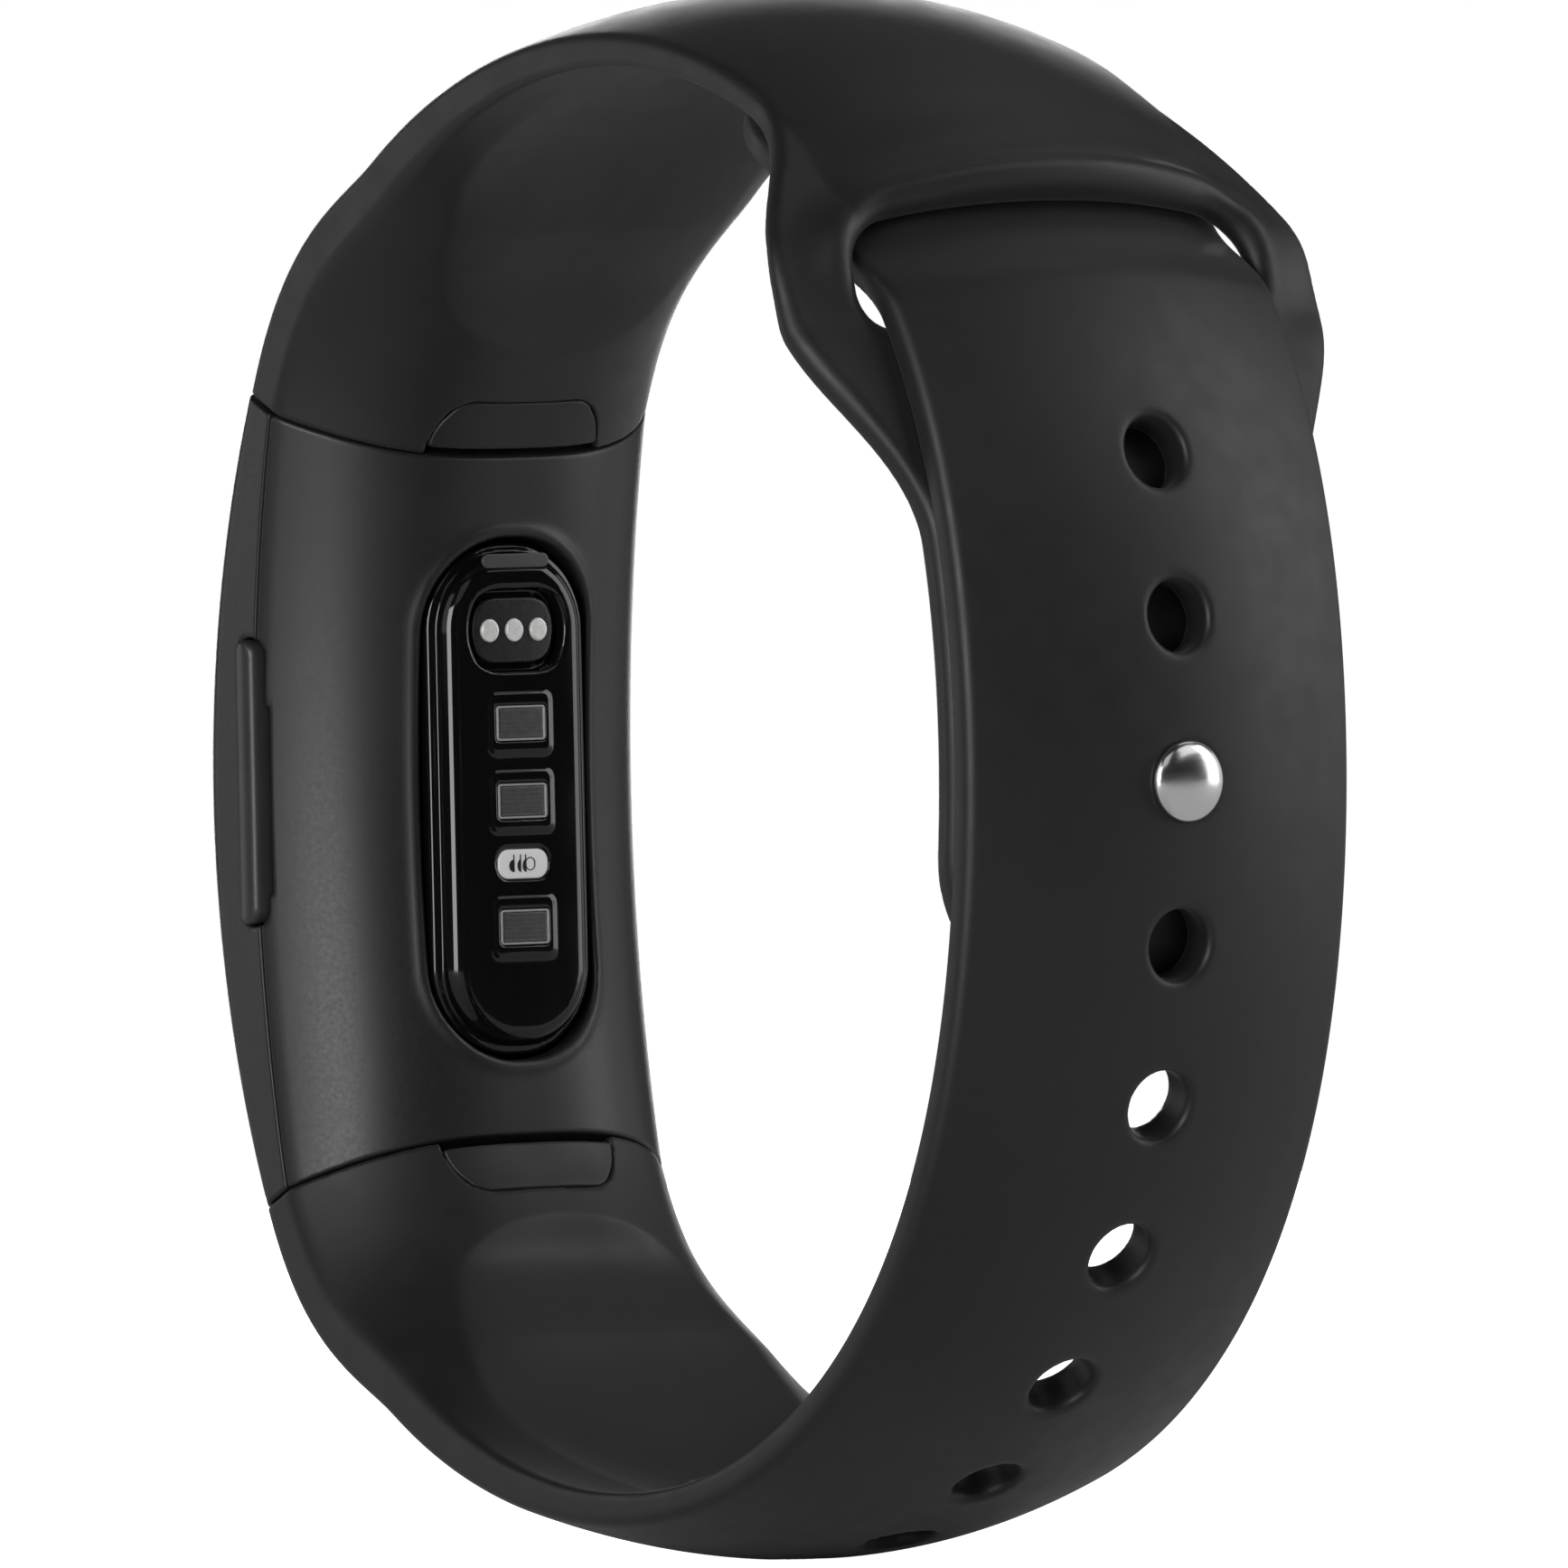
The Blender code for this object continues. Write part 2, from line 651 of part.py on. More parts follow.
def make_front():
    def glass_back(tilt, across):
        return front_depth(tilt, across) + GLASS_THICKNESS

    glass = pod_slab("cover_glass", front_depth, glass_back, GLASS_HALF_WIDTH, GLASS_SPAN, GLASS)
    gasket = pod_slab(
        "display_gasket",
        lambda tilt, across: glass_back(tilt, across) + 0.15 * MM,
        lambda tilt, across: glass_back(tilt, across) + 0.4 * MM,
        GLASS_HALF_WIDTH - 0.1 * MM,
        GLASS_SPAN - math.radians(0.3),
        SEAL,
    )
    window = pod_slab(
        "gasket_window_cutter",
        lambda tilt, across: -9 * MM,
        lambda tilt, across: 6 * MM,
        HALF_WIDTH - FRAME_WALL - 0.1 * MM,
        CAVITY_SPAN,
        SEAL,
        steps=1,
    )
    cut(gasket, window)
    panel = pod_slab(
        "display_panel",
        lambda tilt, across: glass_back(tilt, across) + SEAT_GAP,
        lambda tilt, across: glass_back(tilt, across) + SEAT_GAP + 0.5 * MM,
        6.0 * MM,
        PANEL_SPAN,
        GLASS,
        stations=9,
        steps=6,
    )
    return glass, gasket, panel


def make_housing_gasket():
    """A thin seal between the frame and the shell, just inside the seam."""
    made = pod_slab(
        "housing_gasket",
        lambda tilt, across: strip_depth(tilt) + 0.04 * MM,
        lambda tilt, across: strip_depth(tilt) + 0.11 * MM,
        HALF_WIDTH - 0.6 * MM,
        SEAM_SLOPE - math.radians(1.5),
        SEAL,
        stations=11,
        steps=1,
    )
    hole = pod_slab(
        "gasket_hole_cutter",
        lambda tilt, across: 1 * MM,
        lambda tilt, across: 6 * MM,
        HALF_WIDTH - 1.4 * MM,
        SEAM_SLOPE - math.radians(3.5),
        SEAL,
        stations=11,
        steps=1,
    )
    cut(made, hole, button_cutter("gasket_button_cutter"))
    return made


# ---- Sensor side ----


def make_sensor_window():
    """The glossy window is a cup: its face carries a dished charging recess."""
    made = window_prism(
        "sensor_window", WINDOW_HALF_LENGTH, WINDOW_HALF_WIDTH, WINDOW_FOOT, WINDOW_DEPTH, GLASS
    )
    cavity = window_prism(
        "window_cavity_cutter",
        WINDOW_HALF_LENGTH - WINDOW_FACE,
        WINDOW_HALF_WIDTH - WINDOW_FACE,
        WINDOW_FOOT - 1 * MM,
        WINDOW_DEPTH - WINDOW_FACE,
        GLASS,
    )
    recess = turned(
        "charge_recess_cutter",
        [(CHARGE_RADIUS, 0.0), (CHARGE_RADIUS, 4 * MM)],
        (POD_X + WINDOW_DEPTH - 2 * MM, 0.0, POD_Z + CHARGE_Z),
        (1.0, 0.0, 0.0),
        GLASS,
        20,
    )
    cut(made, cavity, recess)
    return made


def make_charging():
    """A round contact carrier in the recess, with three sprung-pin pads through it."""
    foot_depth, top_depth = INSERT_DEPTHS
    place = (POD_X + foot_depth, 0.0, POD_Z + CHARGE_Z)
    tall = top_depth - foot_depth
    radius = CHARGE_RADIUS - 0.25 * MM
    insert = turned("charging_insert", [(radius, 0.0), (radius, tall)], place, (1, 0, 0), PLASTIC, 20)
    pins = []
    for index in (-1, 0, 1):
        name = f"charging_pin_{index + 2}"
        spot = (POD_X + foot_depth - 0.1 * MM, index * PIN_PITCH, POD_Z + CHARGE_Z)
        high = tall + 0.25 * MM
        profile = [(PIN_RADIUS, 0.0), (PIN_RADIUS, high)]
        pins.append(turned(name, profile, spot, (1, 0, 0), GOLD, 12))
        profile = [(PIN_RADIUS + 0.06 * MM, -1 * MM), (PIN_RADIUS + 0.06 * MM, high + 1 * MM)]
        cut(insert, turned(f"pin_bore_cutter_{index + 2}", profile, spot, (1, 0, 0), GOLD, 12))
    return insert, pins


def make_sensors():
    board = pod_block(
        "sensor_board", *SENSOR_BOARD_DEPTHS, (-2.9 * MM, 2.9 * MM), (-8.8 * MM, 4.9 * MM), BOARD
    )
    pieces = [board]
    for index, along in enumerate(SENSOR_Z):
        span = (along - 0.8 * MM, along + 0.8 * MM)
        name = f"photodiode_{index + 1}"
        pieces.append(pod_block(name, *SENSOR_DEPTHS, (-1.3 * MM, 1.3 * MM), span, LENS))
    span = (LED_Z - 0.6 * MM, LED_Z + 0.6 * MM)
    pieces.append(pod_block("led_emitter", *SENSOR_DEPTHS, (-1.2 * MM, 1.2 * MM), span, LIGHT))
    return pieces


# ---- Inside the case ----


def make_stack():
    """The flat pieces, from the chassis behind the display back to the board's chips."""
    wide = (-7.0 * MM, 7.0 * MM)
    chassis = pod_block("chassis_plate", *CHASSIS_DEPTHS, wide, (-11.0 * MM, 11.0 * MM), FOIL)
    pad_size = ((-5.4 * MM, 5.4 * MM), (-11.5 * MM, 1.8 * MM))
    pad = pod_block("battery_pad", *PAD_DEPTHS, *pad_size, SEAL)
    battery_size = ((-6.2 * MM, 6.2 * MM), (-12.4 * MM, 2.6 * MM))
    battery = pod_block("battery", *BATTERY_DEPTHS, *battery_size, FOIL)
    board_size = ((-5.9 * MM, 5.9 * MM), (-12.2 * MM, 12.2 * MM))
    board = pod_block("main_board", *BOARD_DEPTHS, *board_size, BOARD)
    chips = (
        ("processor", (-2.2, 2.2), (-5.2, -0.8), CHIP),
        ("radio_chip", (-2.6, -0.4), (1.0, 3.4), CHIP),
        ("motion_sensor", (0.6, 2.8), (1.0, 3.4), CHIP),
        ("pressure_sensor", (-1.2, 1.2), (-9.2, -7.0), STEEL),
    )
    pieces = [chassis, pad, battery, board]
    for name, across, along, finish in chips:
        size = [(low * MM, high * MM) for low, high in (across, along)]
        pieces.append(pod_block(name, *CHIP_DEPTHS, *size, finish))
    connector_depths = (CHIP_DEPTHS[0], SENSOR_BOARD_DEPTHS[0] - SEAT_GAP)
    connector_size = ((-1.8 * MM, 1.8 * MM), (-6.7 * MM, -5.6 * MM))
    pieces.append(pod_block("board_connector", *connector_depths, *connector_size, PLASTIC))
    antenna_size = ((7.5 * MM, 7.8 * MM), (-9.0 * MM, 9.0 * MM))
    pieces.append(pod_block("antenna_strip", 1.2 * MM, 2.8 * MM, *antenna_size, FOIL))
    return pieces


def make_flex():
    """The display's ribbon folds past the end of the chassis to the main board."""
    across = (3.6 * MM, 6.4 * MM)
    ribbon_z = (8.0 * MM, 11.6 * MM)
    riser_z = (11.3 * MM, 11.55 * MM)
    riser_foot = BOARD_DEPTHS[0] - SEAT_GAP
    ribbon = pod_block("display_flex", 0.12 * MM, 0.27 * MM, across, ribbon_z, POLYIMIDE)
    riser = pod_block("flex_riser", 0.15 * MM, riser_foot, across, riser_z, POLYIMIDE)
    join(ribbon, riser)
    return ribbon


def make_motor():
    """A coin motor: an eccentric rotor on a shaft between a cup and its lid."""
    foot = Vector((POD_X + MOTOR_DEPTH, 0.0, POD_Z + MOTOR_Z))
    wall = 0.25 * MM
    along_x = (1, 0, 0)
    cup_profile = [(MOTOR_RADIUS, 0.0), (MOTOR_RADIUS, MOTOR_HEIGHT - 0.5 * MM)]
    cup = turned("motor_cup", cup_profile, foot, along_x, STEEL, 20)
    hollow = [(MOTOR_RADIUS - wall, wall), (MOTOR_RADIUS - wall, MOTOR_HEIGHT + 1 * MM)]
    cut(cup, turned("motor_hollow_cutter", hollow, foot, along_x, STEEL, 20))
    lid_foot = foot + Vector((MOTOR_HEIGHT - 0.3 * MM, 0.0, 0.0))
    lid_profile = [(MOTOR_RADIUS, 0.0), (MOTOR_RADIUS, 0.2 * MM)]
    lid = turned("motor_lid", lid_profile, lid_foot, along_x, STEEL, 20)
    shaft_foot = foot + Vector((wall + 0.1 * MM, 0.0, 0.0))
    shaft_tall = MOTOR_HEIGHT - 0.3 * MM - wall - 0.2 * MM
    shaft_profile = [(0.35 * MM, 0.0), (0.35 * MM, shaft_tall)]
    shaft = turned("motor_shaft", shaft_profile, shaft_foot, along_x, STEEL, 12)
    rotor_low = foot.x + wall + 0.4 * MM
    rotor_high = foot.x + MOTOR_HEIGHT - 0.8 * MM
    rotor = bmesh.new()
    outline = []
    for index in range(11):
        angle = math.radians(mix(-80.0, 80.0, index / 10))
        outline.append((2.9 * MM * math.sin(angle), 2.9 * MM * math.cos(angle)))
    for index in range(7):
        angle = math.radians(mix(100.0, 260.0, index / 6))
        outline.append((0.9 * MM * math.sin(angle), 0.9 * MM * math.cos(angle)))
    rings = []
    for x in (rotor_low, rotor_high):
        rings.append([rotor.verts.new((x, y, foot.z + z)) for y, z in outline])
    count = len(outline)
    for index in range(count):
        after = (index + 1) % count
        rotor.faces.new((rings[0][index], rings[0][after], rings[1][after], rings[1][index]))
    rotor.faces.new(rings[0])
    rotor.faces.new(rings[1])
    weight = add_object("motor_rotor", rotor, GOLD)
    bore = [(0.45 * MM, -1 * MM), (0.45 * MM, 4 * MM)]
    cut(weight, turned("rotor_bore_cutter", bore, foot, (1, 0, 0), STEEL, 12))
    return cup, lid, shaft, weight


# ---- Buttons and latches ----


def button_shape(name, grow, near, far, finish):
    """A slot-shaped bar along Z that runs from y = near to y = far."""
    outline = []
    radius = BUTTON_RADIUS + grow
    straight = BUTTON_HALF_LENGTH - BUTTON_RADIUS
    for end in (1, -1):
        for index in range(7):
            angle = math.radians(mix(0.0, 180.0, index / 6))
            across = end * radius * math.cos(angle)
            along = end * (straight + radius * math.sin(angle))
            outline.append((POD_X + BUTTON_DEPTH + across, BUTTON_Z + along))
    sections = [[Vector((x, y, z)) for x, z in outline] for y in (near, far)]
    return loft(name, sections, finish)


def button_cutter(name):
    return button_shape(name, SEAT_GAP, -HALF_WIDTH - 3 * MM, -HALF_WIDTH + FRAME_WALL + 1 * MM, SHELL)


def make_button():
    face = -HALF_WIDTH - BUTTON_PROUD
    button = button_shape("side_button", 0.0, face, -HALF_WIDTH + BUTTON_INSIDE, SHELL)
    seal_y = (-HALF_WIDTH + 1.8 * MM, -HALF_WIDTH + 2.1 * MM)
    seal = button_shape("button_seal", 0.1 * MM, *seal_y, SEAL)
    switch = pod_block(
        "button_switch", 2.5 * MM, 3.5 * MM, (-7.9 * MM, -7.1 * MM), (-2.0 * MM, 2.0 * MM), STEEL
    )
    return button, seal, switch


def seam_frame(side):
    """(origin, out, inward) at the tracker's end: out leaves the tracker along the band,
    and inward runs down the end face towards the wrist."""
    origin = pod_point(side * SEAM_SLOPE, 0.0, 0.0)
    inward = Vector((math.cos(SEAM_SLOPE), 0.0, -side * math.sin(SEAM_SLOPE)))
    out = Vector((math.sin(SEAM_SLOPE), 0.0, side * math.cos(SEAM_SLOPE)))
    return origin, out, inward


def seam_solid(name, side, outline, low, high, finish):
    """A prism at the tracker's end. outline is (across, out) pairs, and it runs between
    two depths on the end face."""
    origin, out, inward = seam_frame(side)
    sections = []
    for depth in (low, high):
        sections.append(
            [origin + out * along + inward * depth + Vector((0, across, 0)) for across, along in outline]
        )
    return loft(name, sections, finish)


def rectangle(half_width, near, far):
    return [(-half_width, near), (half_width, near), (half_width, far), (-half_width, far)]


def latch_reach(across, grow):
    """How far out of the seam a latch reaches: its far corners are cut."""
    beyond = max(abs(across) - LATCH_TIP_HALF_WIDTH - grow, 0.0)
    return GAP + LATCH_LENGTH + grow - 1.3 * beyond


def latch_solid(name, side, grow, low, high):
    """A latch, or with grow its pocket: a trapezium on the band's wrist side that follows
    the band's arch. low and high are measured from that side, towards the wrist."""
    origin, out, inward = seam_frame(side)
    near = GAP + SEAT_GAP - 8 * grow
    half_width = LATCH_ROOT_HALF_WIDTH + grow
    sections = []
    for across in spread(-half_width, half_width, 9):
        face = EDGE_TRACKER + INSIDE_TRACKER * band_arch(across, BACK_FULLNESS)
        far = latch_reach(across, grow)
        section = []
        for along, depth in ((near, low), (far, low), (far, high), (near, high)):
            place = origin + out * along + inward * (face + depth)
            section.append(place + Vector((0, across, 0)))
        sections.append(section)
    return loft(name, sections, RUBBER)


def make_end(name, side, strap):
    """The connector moulded into a strap's end, and the latch and spring beside it."""
    clearance = SEAT_GAP
    low, high = CONNECTOR_DEPTHS
    outline = rectangle(CONNECTOR_HALF_WIDTH, SEAT_GAP, CONNECTOR_LENGTH)
    connector = seam_solid(f"{name}_connector", side, outline, low, high, PLASTIC)
    tongue = tongue_solid(f"{name}_tongue", side, 0.0, 0.35 * MM)
    join(connector, tongue)
    pocket = seam_solid(
        f"{name}_connector_cutter",
        side,
        rectangle(CONNECTOR_HALF_WIDTH + clearance, -1 * MM, CONNECTOR_LENGTH + clearance),
        low - clearance,
        high + clearance,
        PLASTIC,
    )
    latch = latch_solid(f"{name}_latch", side, 0.0, -LATCH_THICKNESS, 0.0)
    latch_floor = -LATCH_THICKNESS - LATCH_TRAVEL - 0.25 * MM
    latch_pocket = latch_solid(f"{name}_latch_cutter", side, clearance, latch_floor, 3 * MM)
    cut(strap, pocket, latch_pocket)
    return connector, latch


def tongue_solid(name, side, clearance, reach):
    """A wedge on the end face. Its wrist side runs along X, so the case lifts off it.
    reach is how far it stands out of the tracker."""
    origin, out, inward = seam_frame(side)
    rise = TONGUE_RISE + clearance
    front = TONGUE_FRONT - clearance
    back = TONGUE_BACK + 2 * clearance
    back_at_tip = back - rise / math.tan(SEAM_SLOPE)
    back_at_root = back + reach / math.tan(SEAM_SLOPE)
    outline = [(front, reach), (front, -rise), (back_at_tip, -rise), (back_at_root, reach)]
    half_width = TONGUE_HALF_WIDTH + clearance
    sections = []
    for across in (-half_width, half_width):
        sections.append(
            [origin + out * along + inward * depth + Vector((0, across, 0)) for depth, along in outline]
        )
    return loft(name, sections, PLASTIC)


def build():
    clear_scene()
    loop_strap = make_loop_strap()
    holed_strap = make_holed_strap()
    make_stud()
    case_frame = make_case_frame()
    pod_pieces = [case_frame, make_rear_housing(), make_housing_gasket(), *make_front()]
    pod_pieces.append(make_sensor_window())
    insert, pins = make_charging()
    pod_pieces += [insert, *pins, *make_sensors(), *make_stack(), make_flex()]
    cup, lid, shaft, rotor = make_motor()
    pod_pieces += [cup, lid, shaft]
    button, seal, switch = make_button()
    pod_pieces += [seal, switch]
    for name, side, strap in (("upper", 1, loop_strap), ("lower", -1, holed_strap)):
        connector, latch = make_end(name, side, strap)
        cut(case_frame, tongue_solid(f"{name}_tongue_cutter", side, SEAT_GAP, 0.6 * MM))
        carry(joint_empty(f"{name}_latch_slide", latch.location), latch)
    pod = joint_empty("tracker_slide", (POD_X, 0.0, POD_Z))
    carry(pod, *pod_pieces)
    carry(joint_empty("button_slide", (POD_X + BUTTON_DEPTH, -HALF_WIDTH, BUTTON_Z)), button)
    carry(joint_empty("rotor_spin", (POD_X + MOTOR_DEPTH, 0.0, POD_Z + MOTOR_Z)), rotor)


build()
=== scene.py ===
"""The looks of a fitness tracker on a silicone sport band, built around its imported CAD.

The ring lies in the XZ plane and the wrist passes through it along Y. Shapes are written in
millimetres as signed distance fields, negative inside, in coordinates that follow the ring:
along it, across it (Y) and in depth towards the wrist. A net is drawn over each field and
its points are settled onto the surface, and only then placed in the frame, in metres.
"""

import itertools
import math

import bpy
import numpy as np
from mathutils import Matrix, Vector


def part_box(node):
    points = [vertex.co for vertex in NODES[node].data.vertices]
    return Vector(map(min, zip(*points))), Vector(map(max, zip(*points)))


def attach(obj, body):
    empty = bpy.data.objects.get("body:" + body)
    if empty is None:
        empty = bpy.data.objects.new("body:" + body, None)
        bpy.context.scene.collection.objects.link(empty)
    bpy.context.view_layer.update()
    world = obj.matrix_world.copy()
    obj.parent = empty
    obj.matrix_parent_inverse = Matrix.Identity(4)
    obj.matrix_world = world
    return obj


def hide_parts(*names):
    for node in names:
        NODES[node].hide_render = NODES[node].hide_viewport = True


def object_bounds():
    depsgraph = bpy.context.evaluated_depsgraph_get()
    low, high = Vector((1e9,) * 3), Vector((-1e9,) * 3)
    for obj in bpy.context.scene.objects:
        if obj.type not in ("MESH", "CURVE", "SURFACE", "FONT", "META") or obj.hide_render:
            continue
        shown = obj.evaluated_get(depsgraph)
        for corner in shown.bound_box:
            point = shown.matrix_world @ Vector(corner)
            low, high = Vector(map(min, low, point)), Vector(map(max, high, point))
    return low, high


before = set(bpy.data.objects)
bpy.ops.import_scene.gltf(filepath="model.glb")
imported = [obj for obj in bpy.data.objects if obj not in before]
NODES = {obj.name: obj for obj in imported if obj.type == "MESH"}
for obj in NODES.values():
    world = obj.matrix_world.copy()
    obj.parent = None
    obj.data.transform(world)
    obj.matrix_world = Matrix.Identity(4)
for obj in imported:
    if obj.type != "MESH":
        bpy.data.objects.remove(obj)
cad_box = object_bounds()

MM = 0.001


def angles(*degrees):
    return tuple(math.radians(each) for each in degrees)


# ---- Sizes shared with the CAD: millimetres, and angles round the ring from the stud ----

BOARD_LOW, BOARD_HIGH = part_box("main_board")
POD_X = BOARD_LOW.x / MM - 5.2  # the tracker's front edge line at mid length
POD_Z = (BOARD_LOW.z + BOARD_HIGH.z) / 2 / MM

# The ring's outline is a circle with a few cosine waves, blended into the tracker's arc.
RING_X = POD_X + 29.8
RING_Z = POD_Z + 1.0
RING_RADIUS = 33.2
RING_SHIFT = 1.8
RING_OVAL = 1.47
RING_LEAN = math.radians(10.2)
RING_FLAT = 0.27
RING_SQUARE = 0.43
RING_JOIN = angles(118.0, 143.0)
DEPTH_JOIN = angles(122.0, 142.0)  # here depths turn from square to the seam's lean
RING_REACH = 2.75
HALF_WIDTH = 10.55

# The tracker's body.
POD_RADIUS = 49.4
POD_HALF_LENGTH = 19.0
SEAM_SLOPE = math.radians(25.5)
EDGE_X = POD_X + POD_RADIUS - math.sqrt(POD_RADIUS**2 - POD_HALF_LENGTH**2)
POLE_X = EDGE_X + POD_HALF_LENGTH / math.tan(SEAM_SLOPE)
POLE_DISTANCE = POLE_X - POD_X
STRIP = (3.7, 2.1)  # depths at mid length and at the ends, here and below
FRONT_RISE = (3.3, 1.5)
BACK_DOME = (5.4, 5.1)
BACK_RIM = 0.2
BACK_FLATNESS = 3.5
BACK_FULLNESS = 3.0
SHELL_GAP = 0.04
CAVITY_HALF_WIDTH = 8.25
CAVITY_HALF_LENGTH = 14.7
BACK_WALL = 1.1
GLASS_HALF_LENGTH = 16.3
GLASS_HALF_WIDTH = 8.8
GLASS_CORNER = 2.4
GLASS_THICKNESS = 0.9
GLASS_SEAT = 1.5
TONGUE_HALF_WIDTH = 4.2
TONGUE_REACH = 1.2
TONGUE_DEPTH = 0.4
TONGUE_HALF_HEIGHT = 1.3

# The button's long hole in the tracker's side.
BUTTON_Z = 0.9
BUTTON_DEPTH = 3.45
BUTTON_HALF_LENGTH = 6.65
BUTTON_HALF_HEIGHT = 0.8
BUTTON_HOLE_END = 7.3

# The sensor window and what is let into its face.
WINDOW_Z = -0.15
WINDOW_DEPTH = 10.45
WINDOW_HALF_LENGTH = 12.0
WINDOW_HALF_WIDTH = 4.4
WINDOW_CORNER = 4.1
WINDOW_CROWN = 0.3
WINDOW_STEP = 0.85
WINDOW_WALL = 0.9
POCKET_DEPTH = 0.3
CHARGE_Z = 7.75
CHARGE_RADIUS = 2.67
CHARGE_HALF_HEIGHT = 1.95
PIN_PITCH = 1.36
SLOT_Z = 11.0
SENSOR_Z = (3.4, -0.25, -6.15)
DIODE_RIM_WIDTH = 0.11
LED_Z = -3.2

# The band. Pairs are at the clasp and at the tracker.
CROWN = (2.2, 1.5)
EDGE = (1.35, 2.3)
INSIDE = (-1.5, 5.1)
EDGE_JOIN = angles(60.0, 140.0)
INSIDE_JOIN = angles(85.0, 138.0)
LAYER_GAP = 0.12
BAR_ANGLE = math.radians(46.5)
OPENING_END = math.radians(37.0)
LAYER_JOIN = (OPENING_END + math.radians(1.0), BAR_ANGLE)
OPENING_HALF_WIDTH = 11.0
OPENING_CORNER = 2.6
LOOP_HALF_WIDTH = 14.8
LOOP_GROWS = angles(20.0, 40.0)
LOOP_SHRINKS = angles(43.0, 62.0)
LIMB_ACROSS = 13.0
LIMB_FALL = 0.45
LOOP_TIP = math.radians(-19.5)
LOOP_TIP_RADIUS = 8.0
TAIL_TIP = math.radians(70.0)
TAIL_TIP_RADIUS = 7.0
HOLE_PITCH = 7.22
HOLE_RADIUS = 1.6
HOLE_NUMBERS = range(-8, 3)  # counted from the hole over the stud
STUD_HOLE_RADIUS = 1.5
WASHER_SEAT_RADIUS = 2.9
WASHER_SEAT_DEPTH = 0.8
DISH_ANGLE = math.radians(111.0)
DISH_REACH = math.radians(21.5)
DISH_ACROSS = 0.4
DISH_HALF_WIDTH = 8.3
DISH_DEPTH = 1.15
DISH_EASE = 0.0015
BAND_END_FROM = 60.0  # the band's cut faces lie farther along the ring than this

# The release latches and the connectors in the band's ends.
LATCH_ROOT = 4.7
LATCH_TIP = 3.5
LATCH_LENGTH = 2.8
LATCH_SLANT = 1.3
LATCH_THICKNESS = 1.3
LATCH_POCKET = 2.0
LATCH_EDGE = 0.07
SEAM_GAP = 0.1
CONNECTOR_HALF_WIDTH = 6.4
CONNECTOR_REACH = 3.4
CONNECTOR_DOWN = 0.55
CONNECTOR_HALF_HEIGHT = 1.35

# The stud, from the foot of its shank to its domed head.
STUD_FOOT = 2.0
STUD_SHANK = 1.3
STUD_HEAD = STUD_FOOT + 2.1
STUD_RADIUS = 1.86
STUD_RIM = 0.22
STUD_DOME = 0.62


# ---- Shaping functions ----


def mix(low, high, share):
    return low + (high - low) * share


def smooth_step(value, start, end):
    share = np.clip((value - start) / (end - start), 0.0, 1.0)
    return share * share * (3.0 - 2.0 * share)


def bump_at(value, centre, spread):
    return np.exp(-(((value - centre) / spread) ** 2))


def both(a, b, radius):
    """The part inside both fields, with its edge rounded to a radius."""
    rounded = np.hypot(np.maximum(a + radius, 0.0), np.maximum(b + radius, 0.0))
    return np.minimum(np.maximum(a, b), -radius) + rounded


def either(a, b, radius):
    """The part inside one field or the other, with its inner corner filled to a radius."""
    return -both(-a, -b, radius)


def rounded_box(along, across, half_along, half_across, corner):
    over_along = np.abs(along) - half_along + corner
    over_across = np.abs(across) - half_across + corner
    outside = np.hypot(np.maximum(over_along, 0.0), np.maximum(over_across, 0.0))
    return outside + np.minimum(np.maximum(over_along, over_across), 0.0) - corner


# ---- The ring's geometry ----


def ring_distance(angle):
    band = (
        RING_RADIUS
        + RING_SHIFT * np.cos(angle)
        - RING_OVAL * np.cos(2 * (angle + RING_LEAN))
        - RING_FLAT * np.cos(3 * angle)
        - RING_SQUARE * np.cos(4 * angle)
    )
    to_x = POD_X + POD_RADIUS - RING_X
    to_z = POD_Z - RING_Z
    along = np.cos(angle) * to_x + np.sin(angle) * to_z
    pod = along + np.sqrt(along**2 - to_x**2 - to_z**2 + POD_RADIUS**2)
    share = smooth_step(np.abs(angle), *RING_JOIN)
    return mix(band, pod, share)


def ring_edge(angle):
    distance = ring_distance(angle)
    return RING_X + distance * np.cos(angle), RING_Z + distance * np.sin(angle)


def ring_table(count=11001, probe=0.01):
    """Angles along the ring with arc length, edge line and inward direction at each."""
    angle = np.linspace(-RING_REACH, RING_REACH, count)
    x, z = ring_edge(angle)
    length = np.concatenate(([0.0], np.cumsum(np.hypot(np.diff(x), np.diff(z)))))
    length -= length[count // 2]
    before_x, before_z = ring_edge(angle - probe)
    after_x, after_z = ring_edge(angle + probe)
    square = np.stack([before_z - after_z, after_x - before_x])
    square /= np.hypot(*square)
    at_seam = np.stack([POLE_X - x, POD_Z - z])
    at_seam /= np.hypot(*at_seam)
    share = smooth_step(np.abs(angle), *DEPTH_JOIN)
    inward = mix(square, at_seam, share)
    inward /= np.hypot(*inward)
    return angle, length, x, z, inward[0], inward[1]


RING = ring_table()


def length_at(angle):
    return np.interp(angle, RING[0], RING[1])


def angle_at(length):
    return np.interp(length, RING[1], RING[0])


def place_band(along, across, depth):
    x, z, inward_x, inward_z = (np.interp(along, RING[1], column) for column in RING[2:])
    return x + inward_x * depth, across, z + inward_z * depth


def place_pod(along, across, depth):
    """A point of the tracker. along is a distance at the front edge line's mid radius."""
    tilt = along / POLE_DISTANCE
    to_x = POD_X + POD_RADIUS - POLE_X
    reach = -np.cos(tilt) * to_x
    edge = reach + np.sqrt(reach**2 - to_x**2 + POD_RADIUS**2)
    out = edge - depth
    return POLE_X - np.cos(tilt) * out, across, POD_Z + np.sin(tilt) * out


def seam_angle(side):
    return math.atan2(POD_Z + side * POD_HALF_LENGTH - RING_Z, EDGE_X - RING_X)


